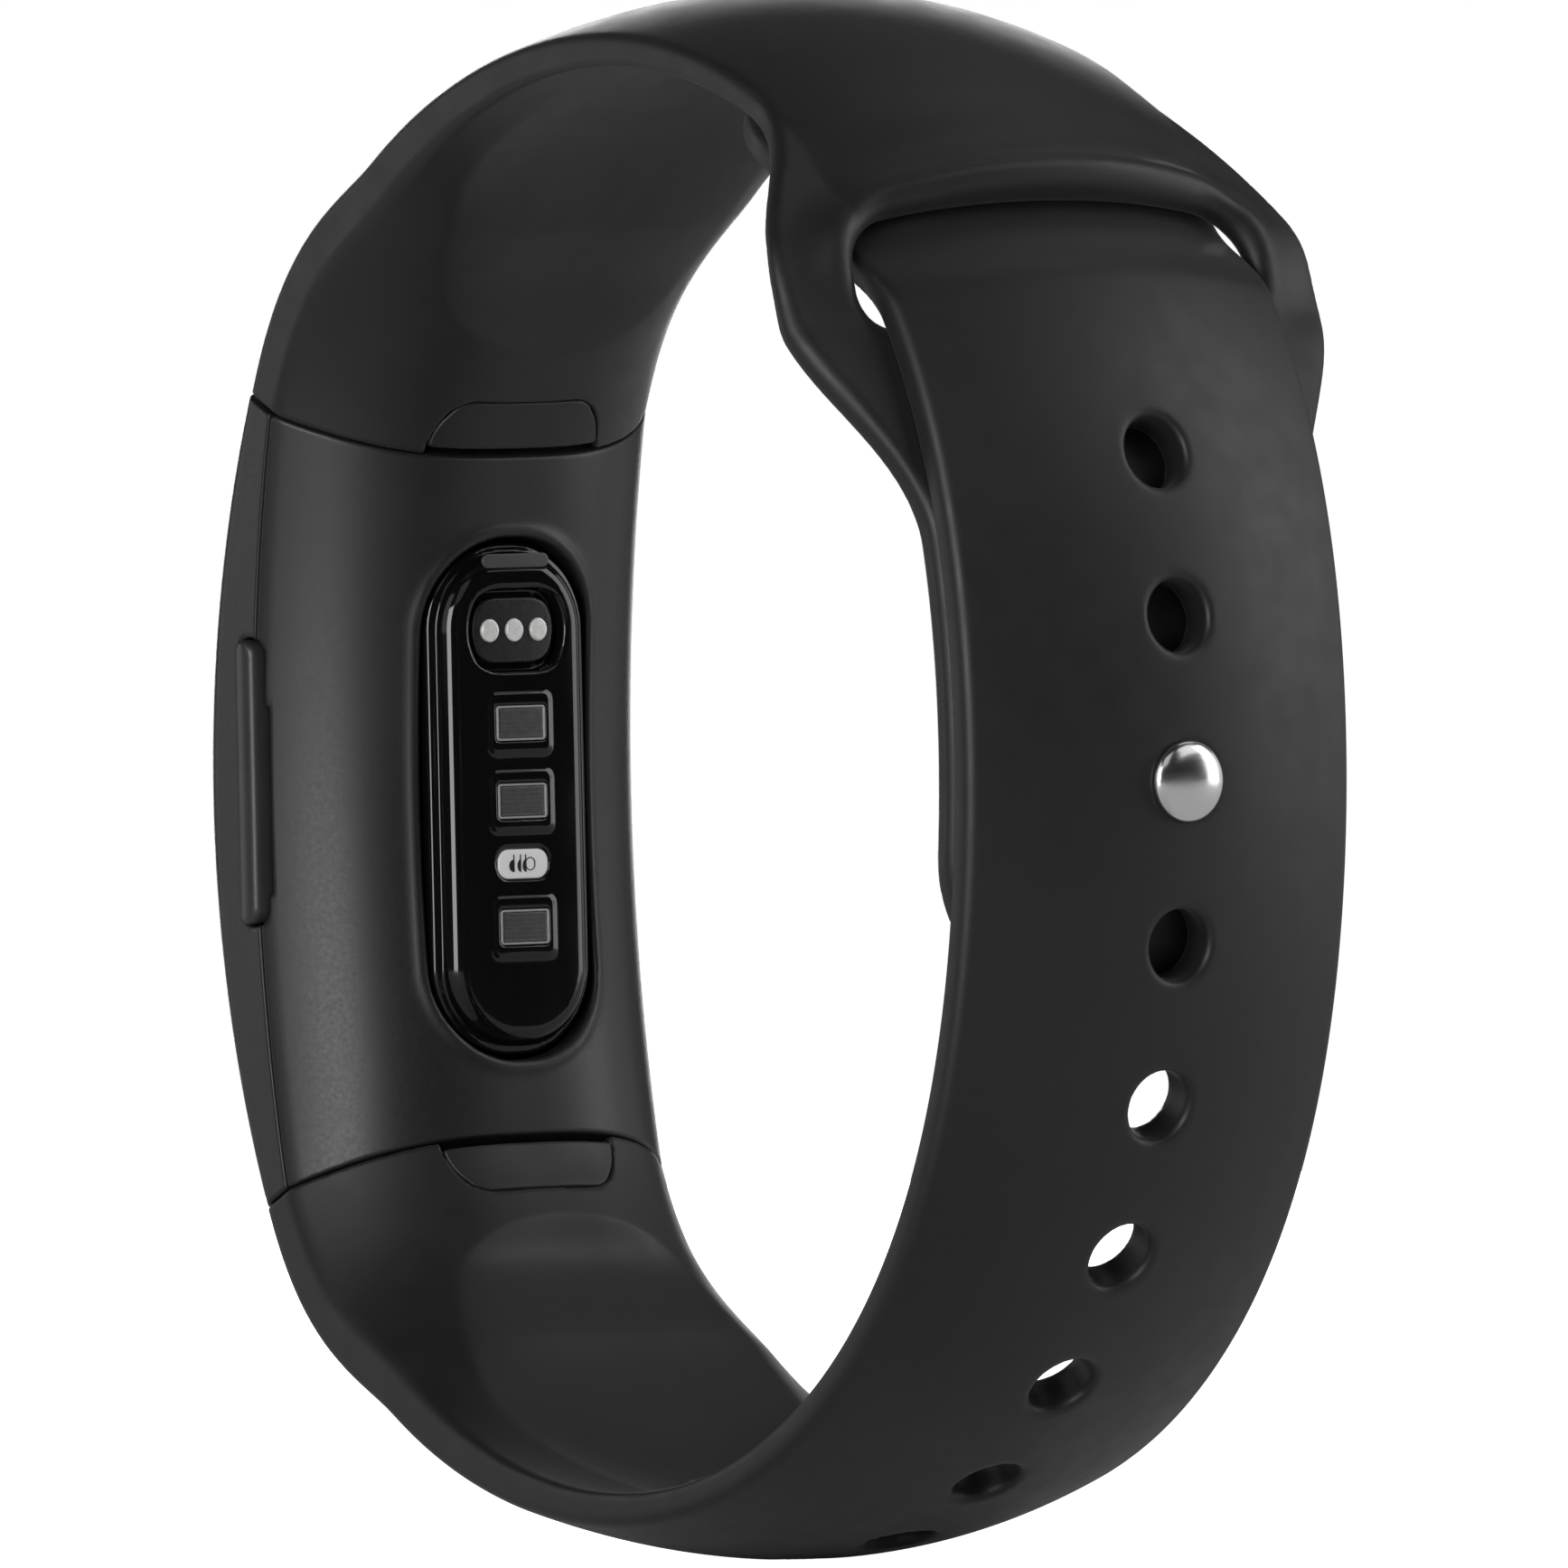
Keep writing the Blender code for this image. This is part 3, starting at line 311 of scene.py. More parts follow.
def from_seam(along, across, depth, side):
    """How far a band point is out of the tracker's end face, and how far down it."""
    x, _, z = place_band(along, across, depth)
    from_x = x - EDGE_X
    from_z = z - POD_Z - side * POD_HALF_LENGTH
    out = from_x * math.sin(SEAM_SLOPE) + from_z * side * math.cos(SEAM_SLOPE)
    down = from_x * math.cos(SEAM_SLOPE) - from_z * side * math.sin(SEAM_SLOPE)
    return out, down


# ---- From a field to a mesh ----


def graded(low, high, step, fine=(), fine_step=0.1):
    """Sample positions with a step that shrinks inside the fine (low, high) ranges."""
    places = [low]
    while places[-1] < high:
        here = places[-1]
        close = any(start - step <= here <= end for start, end in fine)
        places.append(here + (fine_step if close else step))
    return np.array(places)


def edge_crossings(values, axes, cells):
    """The mean of the surface's crossings of each cell's twelve edges."""
    total = np.zeros((len(cells[0]), 3))
    hits = np.zeros(len(cells[0]))
    for axis in range(3):
        others = [other for other in range(3) if other != axis]
        for first, second in itertools.product((0, 1), repeat=2):
            start = list(cells)
            start[others[0]] = start[others[0]] + first
            start[others[1]] = start[others[1]] + second
            end = list(start)
            end[axis] = end[axis] + 1
            low = values[tuple(start)]
            high = values[tuple(end)]
            crosses = (low < 0) != (high < 0)
            share = np.where(crosses, low / np.where(crosses, low - high, 1.0), 0.0)
            for each in range(3):
                spot = mix(axes[each][start[each]], axes[each][end[each]], share)
                total[:, each] += np.where(crosses, spot, 0.0)
            hits += crosses
    return total / hits[:, None]


def draw_net(values, axes):
    """Points and four-sided faces where the values change sign."""
    inside = values < 0
    count = np.zeros([size - 1 for size in values.shape], np.int8)
    for shift in itertools.product((0, 1), repeat=3):
        window = tuple(slice(s, size - 1 + s) for s, size in zip(shift, values.shape))
        count += inside[window]
    mixed = (count > 0) & (count < 8)
    index = np.full(mixed.shape, -1)
    index[mixed] = np.arange(mixed.sum())
    points = edge_crossings(values, axes, np.nonzero(mixed))
    quads = []
    for axis in range(3):
        low = np.take(inside, range(values.shape[axis] - 1), axis)
        high = np.take(inside, range(1, values.shape[axis]), axis)
        spot = list(np.nonzero(low != high))
        one = (axis + 1) % 3
        two = (axis + 2) % 3
        ring = []
        for back_one, back_two in ((1, 1), (0, 1), (0, 0), (1, 0)):
            cell = list(spot)
            cell[one] = cell[one] - back_one
            cell[two] = cell[two] - back_two
            ring.append(index[tuple(cell)])
        faces = np.stack(ring, 1)
        flipped = ~low[tuple(spot)]
        faces[flipped] = faces[flipped][:, ::-1]
        quads.append(faces)
    return points, np.concatenate(quads)


def settle(points, field, limit, rounds=4, probe=0.02):
    """Moves points straight onto the field's surface."""
    for _ in range(rounds):
        value = field(*points.T)
        slope = np.zeros_like(points)
        for axis in range(3):
            shift = np.zeros(3)
            shift[axis] = probe
            slope[:, axis] = field(*(points + shift).T) - field(*(points - shift).T)
        slope /= 2 * probe
        steep = np.maximum((slope**2).sum(1), 0.2)
        points = points - np.clip(value / steep, -limit, limit)[:, None] * slope
    return points


def mesh_piece(name, points, faces, material):
    """A smooth-shaded object from points in millimetres, with its faces turned outwards."""
    corners = points[faces]
    middle = corners.mean(1)
    area = np.cross(corners[:, 2] - corners[:, 0], corners[:, 3] - corners[:, 1])
    if (middle * area).sum() < 0:
        faces = faces[:, ::-1]
    mesh = bpy.data.meshes.new(name)
    mesh.vertices.add(len(points))
    mesh.vertices.foreach_set("co", (points * MM).ravel())
    mesh.loops.add(faces.size)
    mesh.loops.foreach_set("vertex_index", faces.ravel().astype(np.int32))
    mesh.polygons.add(len(faces))
    mesh.polygons.foreach_set("loop_start", np.arange(0, faces.size, 4, dtype=np.int32))
    mesh.update(calc_edges=True)
    mesh.shade_smooth()
    mesh.materials.append(material)
    made = bpy.data.objects.new(name, mesh)
    bpy.context.scene.collection.objects.link(made)
    return made


def carve(name, field, place, axes, material):
    """The piece inside a field, sampled on the axes and put in the frame by place."""
    sizes = [len(axis) for axis in axes]
    grids = np.meshgrid(*axes, indexing="ij", sparse=True)
    values = np.array(np.broadcast_to(field(*grids), sizes))
    points, quads = draw_net(values, axes)
    limit = 0.6 * min(np.diff(axis).min() for axis in axes)
    points = settle(points, field, limit)
    placed = np.stack(place(*points.T), 1)
    return mesh_piece(name, placed, quads, material)


def stands_for(piece, node, body):
    """Puts a piece on a body in the place of a CAD node."""
    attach(piece, body)
    if node:
        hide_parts(node)
    return piece


# ---- Materials ----


class Shader:
    """A Principled material and short ways to add nodes to it."""

    def __init__(self, name):
        self.made = bpy.data.materials.new(name)
        self.made.use_nodes = True
        self.tree = self.made.node_tree
        self.main = self.tree.nodes["Principled BSDF"]
        self.place = self.add("ShaderNodeTexCoord").outputs["Object"]

    def add(self, kind, **settings):
        node = self.tree.nodes.new(kind)
        for key, value in settings.items():
            setattr(node, key, value)
        return node

    def feed(self, socket, value):
        if isinstance(value, bpy.types.NodeSocket):
            self.tree.links.new(value, socket)
        else:
            socket.default_value = value

    def set(self, **values):
        for key, value in values.items():
            self.feed(self.main.inputs[key.replace("_", " ")], value)

    def stretched(self, scale):
        node = self.add("ShaderNodeMapping")
        self.feed(node.inputs["Vector"], self.place)
        node.inputs["Scale"].default_value = scale
        return node.outputs["Vector"]

    def noise(self, scale, detail=4.0, rough=0.55, vector=None):
        node = self.add("ShaderNodeTexNoise")
        self.feed(node.inputs["Vector"], vector or self.place)
        node.inputs["Scale"].default_value = scale
        node.inputs["Detail"].default_value = detail
        node.inputs["Roughness"].default_value = rough
        return node.outputs["Fac"]

    def cells(self, scale, feature="F1", vector=None):
        node = self.add("ShaderNodeTexVoronoi", feature=feature)
        self.feed(node.inputs["Vector"], vector or self.place)
        node.inputs["Scale"].default_value = scale
        return node.outputs["Distance"]

    def spread(self, value, low, high, start=0.3, end=0.7):
        node = self.add("ShaderNodeMapRange")
        self.feed(node.inputs["Value"], value)
        node.inputs["From Min"].default_value = start
        node.inputs["From Max"].default_value = end
        node.inputs["To Min"].default_value = low
        node.inputs["To Max"].default_value = high
        return node.outputs["Result"]

    def blend(self, share, low, high):
        node = self.add("ShaderNodeMix", data_type="RGBA")
        self.feed(node.inputs[0], share)
        self.feed(node.inputs[6], low)
        self.feed(node.inputs[7], high)
        return node.outputs[2]

    def maths(self, operation, one, two):
        node = self.add("ShaderNodeMath", operation=operation)
        self.feed(node.inputs[0], one)
        self.feed(node.inputs[1], two)
        return node.outputs[0]

    def relief(self, height, distance, strength=1.0, below=None):
        node = self.add("ShaderNodeBump")
        self.feed(node.inputs["Height"], height)
        node.inputs["Distance"].default_value = distance
        node.inputs["Strength"].default_value = strength
        if below:
            self.feed(node.inputs["Normal"], below)
        return node.outputs["Normal"]


def grey(level, tint=0.0):
    return (level, level, level * (1.0 + tint), 1.0)


def silicone():
    """Moulded silicone: soft satin, a very fine grain and a faint cloudiness."""
    look = Shader("band_silicone")
    cloud = look.spread(look.noise(140.0, 3.0), 0.0, 1.0)
    fine = look.noise(9000.0, 2.0)
    dust = look.spread(look.cells(900.0), 1.0, 0.0, 0.02, 0.05)
    base = look.blend(cloud, grey(0.0075, 0.02), grey(0.0095, 0.03))
    base = look.blend(look.maths("MULTIPLY", dust, 0.12), base, grey(0.09))
    rough = look.spread(look.noise(600.0), 0.44, 0.52)
    look.set(Base_Color=base, Roughness=rough, Sheen_Weight=0.08, Sheen_Roughness=0.5)
    wave = look.relief(look.noise(260.0, 2.0), 0.00002, 0.5)
    look.set(Normal=look.relief(fine, 0.0000035, 0.6, wave))
    return look.made


def satin_shell(name, low, high, rough):
    """The tracker's hard shells: fine bead-blasted satin."""
    look = Shader(name)
    cloud = look.spread(look.noise(180.0, 3.0), 0.0, 1.0)
    base = look.blend(cloud, grey(low, 0.02), grey(high, 0.03))
    look.set(Base_Color=base, Roughness=look.spread(look.noise(5000.0), *rough))
    look.set(Normal=look.relief(look.noise(12000.0, 3.0), 0.000003, 0.7))
    return look.made


def gloss_black(name, level, smear):
    """Black cover glass with faint smears that show only in its reflections."""
    look = Shader(name)
    smears = look.noise(220.0, 5.0, 0.6, look.stretched((1.0, 2.5, 0.7)))
    base = look.blend(smears, grey(level), grey(level * 1.4, 0.05))
    look.set(Base_Color=base, Roughness=look.spread(smears, *smear), IOR=1.52)
    look.set(Normal=look.relief(look.noise(420.0, 2.0), 0.000004, 0.3))
    return look.made


def steel(name, level, rough):
    """Polished steel with fine turned scratches."""
    look = Shader(name)
    scratches = look.noise(2500.0, 4.0, 0.6, look.stretched((1.0, 0.08, 1.0)))
    base = look.blend(scratches, grey(level * 0.94), grey(level, 0.01))
    look.set(Base_Color=base, Metallic=1.0, Roughness=look.spread(scratches, *rough))
    look.set(Normal=look.relief(look.noise(6000.0, 3.0), 0.0000015, 0.6))
    return look.made


def contact_pad():
    """A spring pin's pad, with patchy wear left by the charger's pins."""
    look = Shader("contact_pad")
    wear = look.spread(look.noise(3500.0, 5.0, 0.65), 0.0, 1.0, 0.42, 0.6)
    base = look.blend(wear, grey(0.72, -0.02), grey(0.94, -0.02))
    look.set(Base_Color=base, Metallic=0.25, Roughness=look.spread(wear, 0.45, 0.22, 0.0, 1.0))
    look.set(Normal=look.relief(look.noise(5000.0, 4.0), 0.00001, 0.8))
    return look.made


def plastic(name, low, high, rough, grain=4000.0):
    """Moulded plastic, ceramic or rubber: a cloudy grey with a fine grain."""
    look = Shader(name)
    cloud = look.noise(350.0, 3.0)
    look.set(Base_Color=look.blend(cloud, grey(low), grey(high, 0.03)))
    look.set(Roughness=look.spread(look.noise(grain), rough - 0.05, rough + 0.05))
    look.set(Normal=look.relief(look.noise(grain * 2, 3.0), 0.000006, 0.7))
    return look.made


def circuit_board():
    """Solder mask over a net of copper tracks, with bare pads."""
    look = Shader("board_mask")
    tracks = look.spread(look.cells(1100.0, "DISTANCE_TO_EDGE"), 1.0, 0.0, 0.03, 0.06)
    pads = look.spread(look.cells(2100.0), 1.0, 0.0, 0.10, 0.14)
    mask = look.blend(look.noise(500.0), (0.006, 0.045, 0.02, 1), (0.01, 0.07, 0.03, 1))
    base = look.blend(tracks, mask, (0.03, 0.16, 0.06, 1))
    base = look.blend(pads, base, (0.75, 0.52, 0.2, 1))
    look.set(Base_Color=base, Metallic=pads, Roughness=look.spread(look.noise(3000.0), 0.25, 0.4))
    look.set(Normal=look.relief(look.maths("ADD", tracks, pads), 0.00003, 0.8))
    return look.made


def cell_foil():
    """Crinkled aluminium laminate."""
    look = Shader("cell_laminate")
    creases = look.cells(420.0, "DISTANCE_TO_EDGE", vector=look.stretched((1.0, 1.0, 0.6)))
    look.set(Base_Color=look.blend(look.noise(700.0), grey(0.42), grey(0.6, 0.02)))
    look.set(Metallic=0.9, Roughness=look.spread(look.noise(1800.0, 5.0), 0.28, 0.46))
    height = look.maths("ADD", creases, look.noise(900.0, 5.0))
    look.set(Normal=look.relief(height, 0.00004, 0.5))
    return look.made


def flex_film():
    """Amber film with fine parallel conductors."""
    look = Shader("flex_amber")
    lines = look.add("ShaderNodeTexWave", bands_direction="Y")
    look.feed(lines.inputs["Vector"], look.place)
    lines.inputs["Scale"].default_value = 900.0
    share = look.spread(lines.outputs["Fac"], 0.0, 1.0, 0.4, 0.6)
    look.set(Base_Color=look.blend(share, (0.30, 0.11, 0.015, 1), (0.55, 0.24, 0.05, 1)))
    look.set(Roughness=look.spread(look.noise(1500.0), 0.25, 0.4))
    look.set(Normal=look.relief(share, 0.00001, 0.6))
    return look.made


def brushed_metal(name, level):
    """Sheet metal with fine lines along one direction."""
    look = Shader(name)
    lines = look.noise(900.0, 6.0, 0.65, look.stretched((1.0, 14.0, 1.0)))
    look.set(Base_Color=look.blend(lines, grey(level * 0.8), grey(level)), Metallic=1.0)
    look.set(Roughness=look.spread(lines, 0.2, 0.38))
    look.set(Normal=look.relief(lines, 0.000008, 0.6))
    return look.made


def diode_face():
    """A photodiode behind smoked glass: dark grey with a faint grid of fingers."""
    look = Shader("diode_face")
    lines = look.add("ShaderNodeTexWave", bands_direction="Z")
    look.feed(lines.inputs["Vector"], look.place)
    lines.inputs["Scale"].default_value = 1500.0
    share = look.maths("MULTIPLY", lines.outputs["Fac"], look.noise(900.0))
    look.set(Base_Color=look.blend(share, grey(0.06, 0.02), grey(0.09, 0.03)))
    look.set(Roughness=look.spread(look.noise(2500.0), 0.2, 0.32), Coat_Weight=0.6)
    look.set(Normal=look.relief(share, 0.000004, 0.5))
    return look.made


SILICONE = silicone()
SHELL = satin_shell("shell_satin", 0.013, 0.016, (0.36, 0.44))
FRAME_SATIN = satin_shell("strip_satin", 0.008, 0.0105, (0.34, 0.42))
BUTTON = satin_shell("button_satin", 0.03, 0.038, (0.3, 0.38))
WINDOW_GLOSS = gloss_black("window_gloss", 0.0035, (0.035, 0.09))
FRONT_GLOSS = gloss_black("front_gloss", 0.003, (0.02, 0.06))
STEEL = steel("stud_steel", 0.86, (0.16, 0.24))
PAD = contact_pad()
RECESS = plastic("recess_plastic", 0.012, 0.018, 0.3)
RIM = plastic("diode_rim", 0.26, 0.4, 0.3, 2500.0)
DIODE = diode_face()
SLOT_GREY = plastic("slot_grey", 0.055, 0.075, 0.34, 2500.0)
LED_WHITE = plastic("led_ceramic", 0.8, 0.92, 0.32, 2500.0)
LED_DARK = plastic("led_die", 0.008, 0.03, 0.15, 3000.0)


# ---- The band ----


def loop_swell(angle):
    """1 where the loop is widest, and 0 where it is an ordinary strap."""
    return smooth_step(angle, *LOOP_GROWS) * (1.0 - smooth_step(angle, *LOOP_SHRINKS))


def band_arch(across, fullness):
    """1 on the centre line and 0 at the band's edge, and a slower fall beyond it."""
    arch = 1.0 - np.abs(across / HALF_WIDTH) ** fullness
    return np.where(arch < 0.0, arch * LIMB_FALL, arch)


def band_faces(angle, across, layer):
    """Depths of the band's outer and inner faces, before the dishes are taken out."""
    near = smooth_step(np.abs(angle), *EDGE_JOIN)
    crown = mix(*CROWN, near)
    edge = mix(*EDGE, near)
    swelling = smooth_step(np.abs(angle), *INSIDE_JOIN)
    inside = mix(*INSIDE, swelling)
    drop = layer * (edge + LAYER_GAP)
    crown = mix(crown, -inside, layer)
    arch = band_arch(across, 2.0)
    fullness = mix(2.0, BACK_FULLNESS, swelling)
    return drop - crown * arch, drop + edge + inside * band_arch(across, fullness)


def dish(angle, across):
    """The oval dish in the wrist side, with a soft but definite rim."""
    along = (np.abs(angle) - DISH_ANGLE) / DISH_REACH
    reach = np.hypot(along, (across - DISH_ACROSS) / DISH_HALF_WIDTH)
    bowl = 1.0 - reach**2
    return DISH_DEPTH * 0.5 * (bowl + np.sqrt(bowl**2 + DISH_EASE))


def latch_outline(across, out, grow):
    """Distance outside the release tab's outline: a trapezium with rounded far corners."""
    slant = out - LATCH_LENGTH + LATCH_SLANT * (np.abs(across) - LATCH_TIP)
    slant = slant / math.hypot(1.0, LATCH_SLANT)
    flat = np.maximum(np.abs(across) - LATCH_ROOT, out - LATCH_LENGTH)
    return both(both(slant, flat, 0.5), -out - 2.0, 0.0) - grow


def with_end(body, along, across, depth, inner, side):
    """Cuts the band at the tracker, with pockets for the release tab and the connector."""
    out, down = from_seam(along, across, depth, side)
    far_inside = 30.0
    out = np.where(along * side > BAND_END_FROM, out, far_inside)
    body = both(body, SEAM_GAP - out, 0.12)
    tab = np.maximum(latch_outline(across, out, 0.05), inner - LATCH_POCKET - depth)
    body = both(body, -tab, LATCH_EDGE)
    connector = np.maximum(np.abs(across) - CONNECTOR_HALF_WIDTH, out - CONNECTOR_REACH)
    connector = np.maximum(connector, np.abs(down - CONNECTOR_DOWN) - CONNECTOR_HALF_HEIGHT)
    return np.maximum(body, -connector)


def hole(along, across, place, radius):
    return np.hypot(along - place, across) - radius


def tail_layer(angle):
    """0 where the holed strap is on the outside, and 1 where it runs under the loop strap."""
    return smooth_step(angle, *LAYER_JOIN)


def loop_field(along, across, depth):
    angle = angle_at(along)
    outer, inner = band_faces(angle, across, 1.0 - tail_layer(angle))
    start = length_at(OPENING_END)
    end = length_at(BAR_ANGLE)
    opening = rounded_box(
        along - (start + end) / 2, across, (end - start) / 2, OPENING_HALF_WIDTH, OPENING_CORNER
    )
    swell = loop_swell(angle)
    above = smooth_step(along, start - 1.0, end)
    outer = outer - above * (0.35 * bump_at(opening, 0.9, 0.8) - 0.3 * bump_at(opening, 3.2, 1.3))
    limb = swell * bump_at(np.abs(across), LIMB_ACROSS, 1.8)
    inner = inner - dish(angle, across) + 0.3 * limb
    tip = length_at(LOOP_TIP) - along
    half_width = mix(HALF_WIDTH - 0.1, LOOP_HALF_WIDTH, swell)
    side = both(np.abs(across) - half_width, tip, LOOP_TIP_RADIUS)
    thick = inner - outer
    radius = np.minimum(mix(0.4, 0.95, swell), thick * 0.48)
    body = both(np.maximum(outer - depth, depth - inner), side, radius)
    body = both(body, -opening, np.minimum(0.95, thick * 0.48))
    body = both(body, -hole(along, across, 0.0, STUD_HOLE_RADIUS), 0.1)
    seat = hole(along, across, 0.0, WASHER_SEAT_RADIUS)
    seat = np.maximum(seat, inner - WASHER_SEAT_DEPTH - depth)
    body = np.maximum(body, -seat)
    return with_end(body, along, across, depth, inner, 1)


def tail_field(along, across, depth):
    angle = angle_at(along)
    outer, inner = band_faces(angle, across, tail_layer(angle))
    inner = inner - dish(angle, across)
    tip = along - length_at(TAIL_TIP)
    side = both(np.abs(across) - HALF_WIDTH, tip, TAIL_TIP_RADIUS)
    body = both(np.maximum(outer - depth, depth - inner), side, 0.38)
    for number in HOLE_NUMBERS:
        body = both(body, -hole(along, across, number * HOLE_PITCH, HOLE_RADIUS), 0.34)
    return with_end(body, along, across, depth, inner, -1)


def tab_field(side):
    def field(along, across, depth):
        angle = angle_at(along)
        inner = band_faces(angle, across, 0.0)[1]
        out, _ = from_seam(along, across, depth, side)
        outline = both(latch_outline(across, out, -0.02), 0.45 - out, 0.15)
        slab = np.maximum(inner - LATCH_THICKNESS - depth, depth - inner)
        return both(slab, outline, LATCH_EDGE)

    return field


def make_band():
    seam = length_at(seam_angle(1))
    low_seam = length_at(seam_angle(-1))
    latch_sides = ((-5.0, -3.2), (3.2, 5.0))
    across = graded(-15.2, 15.2, 0.25, latch_sides, 0.12)
    depth = graded(-3.2, 8.0, 0.22)
    near_seam = ((seam - 3.4, seam + 2.5),)
    along = graded(length_at(LOOP_TIP) - 0.6, seam + 3.0, 0.27, near_seam, 0.13)
    loop = carve("loop_strap_moulded", loop_field, place_band, (along, across, depth), SILICONE)
    stands_for(loop, "loop_strap", "band")
    across = graded(-10.9, 10.9, 0.25, latch_sides, 0.12)
    near_seam = ((low_seam - 2.5, low_seam + 3.4),)
    along = graded(low_seam - 3.0, length_at(TAIL_TIP) + 0.6, 0.27, near_seam, 0.13)
    tail = carve("holed_strap_moulded", tail_field, place_band, (along, across, depth), SILICONE)
    stands_for(tail, "holed_strap", "band")
    for name, side, place in (("upper", 1, seam), ("lower", -1, low_seam)):
        ends = sorted((place - side * 4.0, place + side * 1.5))
        axes = (graded(*ends, 0.1), graded(-5.2, 5.2, 0.1), graded(3.6, 8.0, 0.1))
        tab = carve(f"{name}_latch_tab", tab_field(side), place_band, axes, SILICONE)
        stands_for(tab, f"{name}_latch", f"{name}_latch")


# ---- The tracker ----


def end_share(along):
    """0 at the tracker's mid length and 1 at its ends."""
    return (along / POLE_DISTANCE / SEAM_SLOPE) ** 2


def strip_depth(along):
    return mix(*STRIP, end_share(along))


def front_depth(along, across):
    rise = mix(*FRONT_RISE, end_share(along))
    return -rise * (1.0 - np.abs(across / HALF_WIDTH) ** 4)


def back_depth(along, across):
    dome = mix(*BACK_DOME, end_share(along) ** BACK_FLATNESS)
    dome = dome * (1.0 - np.abs(across / HALF_WIDTH) ** BACK_FULLNESS)
    return strip_depth(along) + BACK_RIM + dome


def place_straight(along, across, depth):
    """A point in straight coordinates at the tracker's middle: Z, Y and depth along X."""
    return POD_X + depth, across, POD_Z + along


def straight(along, across, depth):
    """The straight height and depth of a point that is given on the curved tracker."""
    x, _, z = place_pod(along, across, depth)
    return z - POD_Z, x - POD_X


def window_outline(height, across, grow):
    """Distance outside the sensor window: a slot shape a little fuller than round ends."""
    half_length = WINDOW_HALF_LENGTH + grow
    half_width = WINDOW_HALF_WIDTH + grow
    return rounded_box(height - WINDOW_Z, across, half_length, half_width, WINDOW_CORNER + grow)


def button_outline(height, deep, grow):
    half_length = BUTTON_HALF_LENGTH + grow
    half_height = BUTTON_HALF_HEIGHT + grow
    corner = half_height - 0.01
    return rounded_box(height - BUTTON_Z, deep - BUTTON_DEPTH, half_length, half_height, corner)


def button_hole(along, across, depth):
    height, deep = straight(along, across, depth)
    return np.maximum(button_outline(height, deep, 0.1), across + BUTTON_HOLE_END)


def pod_ends(along):
    """Distance past the tracker's end faces."""
    return (np.abs(along) / POLE_DISTANCE - SEAM_SLOPE) * POLE_DISTANCE


def tongue_pocket(along, across, depth):
    """The pocket in each end face that takes a latch's tongue."""
    from_end = -pod_ends(along)
    deep = np.maximum(np.abs(across) - TONGUE_HALF_WIDTH, from_end - TONGUE_REACH)
    return np.maximum(deep, np.abs(depth - TONGUE_DEPTH) - TONGUE_HALF_HEIGHT)


def pod_cavity(along, across):
    return np.maximum(np.abs(across) - CAVITY_HALF_WIDTH, np.abs(along) - CAVITY_HALF_LENGTH)


def glass_outline(along, across, grow):
    half_length = GLASS_HALF_LENGTH + grow
    return rounded_box(along, across, half_length, GLASS_HALF_WIDTH + grow, GLASS_CORNER + grow)


def frame_field(along, across, depth):
    front = front_depth(along, across)
    body = both(np.abs(across) - HALF_WIDTH, front - depth, 0.5)
    body = both(body, depth - strip_depth(along) + SHELL_GAP, 0.1)
    body = both(body, pod_ends(along), 0.12)
    seat = np.maximum(glass_outline(along, across, 0.1), depth - front - GLASS_SEAT)
    body = both(body, -seat, 0.08)
    body = np.maximum(body, -pod_cavity(along, across))
    body = np.maximum(body, -tongue_pocket(along, across, depth))
    return both(body, -button_hole(along, across, depth), 0.1)


def housing_field(along, across, depth):
    back = back_depth(along, across)
    height, _ = straight(along, across, depth)
    opening = window_outline(height, across, 0.25)
    back = back + 0.16 * bump_at(opening, 0.28, 0.3)
    body = both(np.abs(across) - HALF_WIDTH, depth - back, 0.45)
    body = both(body, strip_depth(along) + SHELL_GAP - depth, 0.06)
    body = both(body, pod_ends(along), 0.12)
    cavity = np.maximum(pod_cavity(along, across), depth - back_depth(along, across) + BACK_WALL)
    body = np.maximum(body, -cavity)
    body = both(body, -opening, 0.12)
    return both(body, -button_hole(along, across, depth), 0.1)


def from_strip(shape):
    """The same field or placing with its depth counted from the strip's edge line."""
    return lambda along, across, deep: shape(along, across, deep + strip_depth(along))


def make_shells():
    place = from_strip(place_pod)
    along = graded(-20.2, 20.2, 0.24, ((-19.5, -18.9), (18.9, 19.5)), 0.12)
    across = graded(-10.9, 10.9, 0.22)
    axes = (along, across, graded(-7.4, 0.2, 0.2, ((-0.3, 0.2),), 0.08))
    piece = carve("case_frame_shell", from_strip(frame_field), place, axes, FRAME_SATIN)
    stands_for(piece, "case_frame", "tracker")
    axes = (along, across, graded(-0.2, 6.4, 0.18, ((-0.2, 0.3),), 0.08))
    piece = carve("rear_housing_shell", from_strip(housing_field), place, axes, SHELL)
    stands_for(piece, "rear_housing", "tracker")


def make_front_glass():
    def field(along, across, depth):
        front = front_depth(along, across)
        slab = np.maximum(front - depth, depth - front - GLASS_THICKNESS)
        return both(slab, glass_outline(along, across, 0.0), 0.2)

    axes = (graded(-17.0, 17.0, 0.25), graded(-9.3, 9.3, 0.25), graded(-4.0, 1.5, 0.2))
    piece = carve("front_glass", field, place_pod, axes, FRONT_GLOSS)
    stands_for(piece, "cover_glass", "tracker")


def window_top(across):
    """Depth of the sensor window's face, which is lightly crowned."""
    return WINDOW_DEPTH - WINDOW_CROWN * (across / WINDOW_HALF_WIDTH) ** 2


def charge_outline(height, across, grow):
    """The contact recess: a circle cut flat above and below."""
    round_part = np.hypot(height - CHARGE_Z, across) - CHARGE_RADIUS - grow
    return both(round_part, np.abs(height - CHARGE_Z) - CHARGE_HALF_HEIGHT - grow, 0.5)


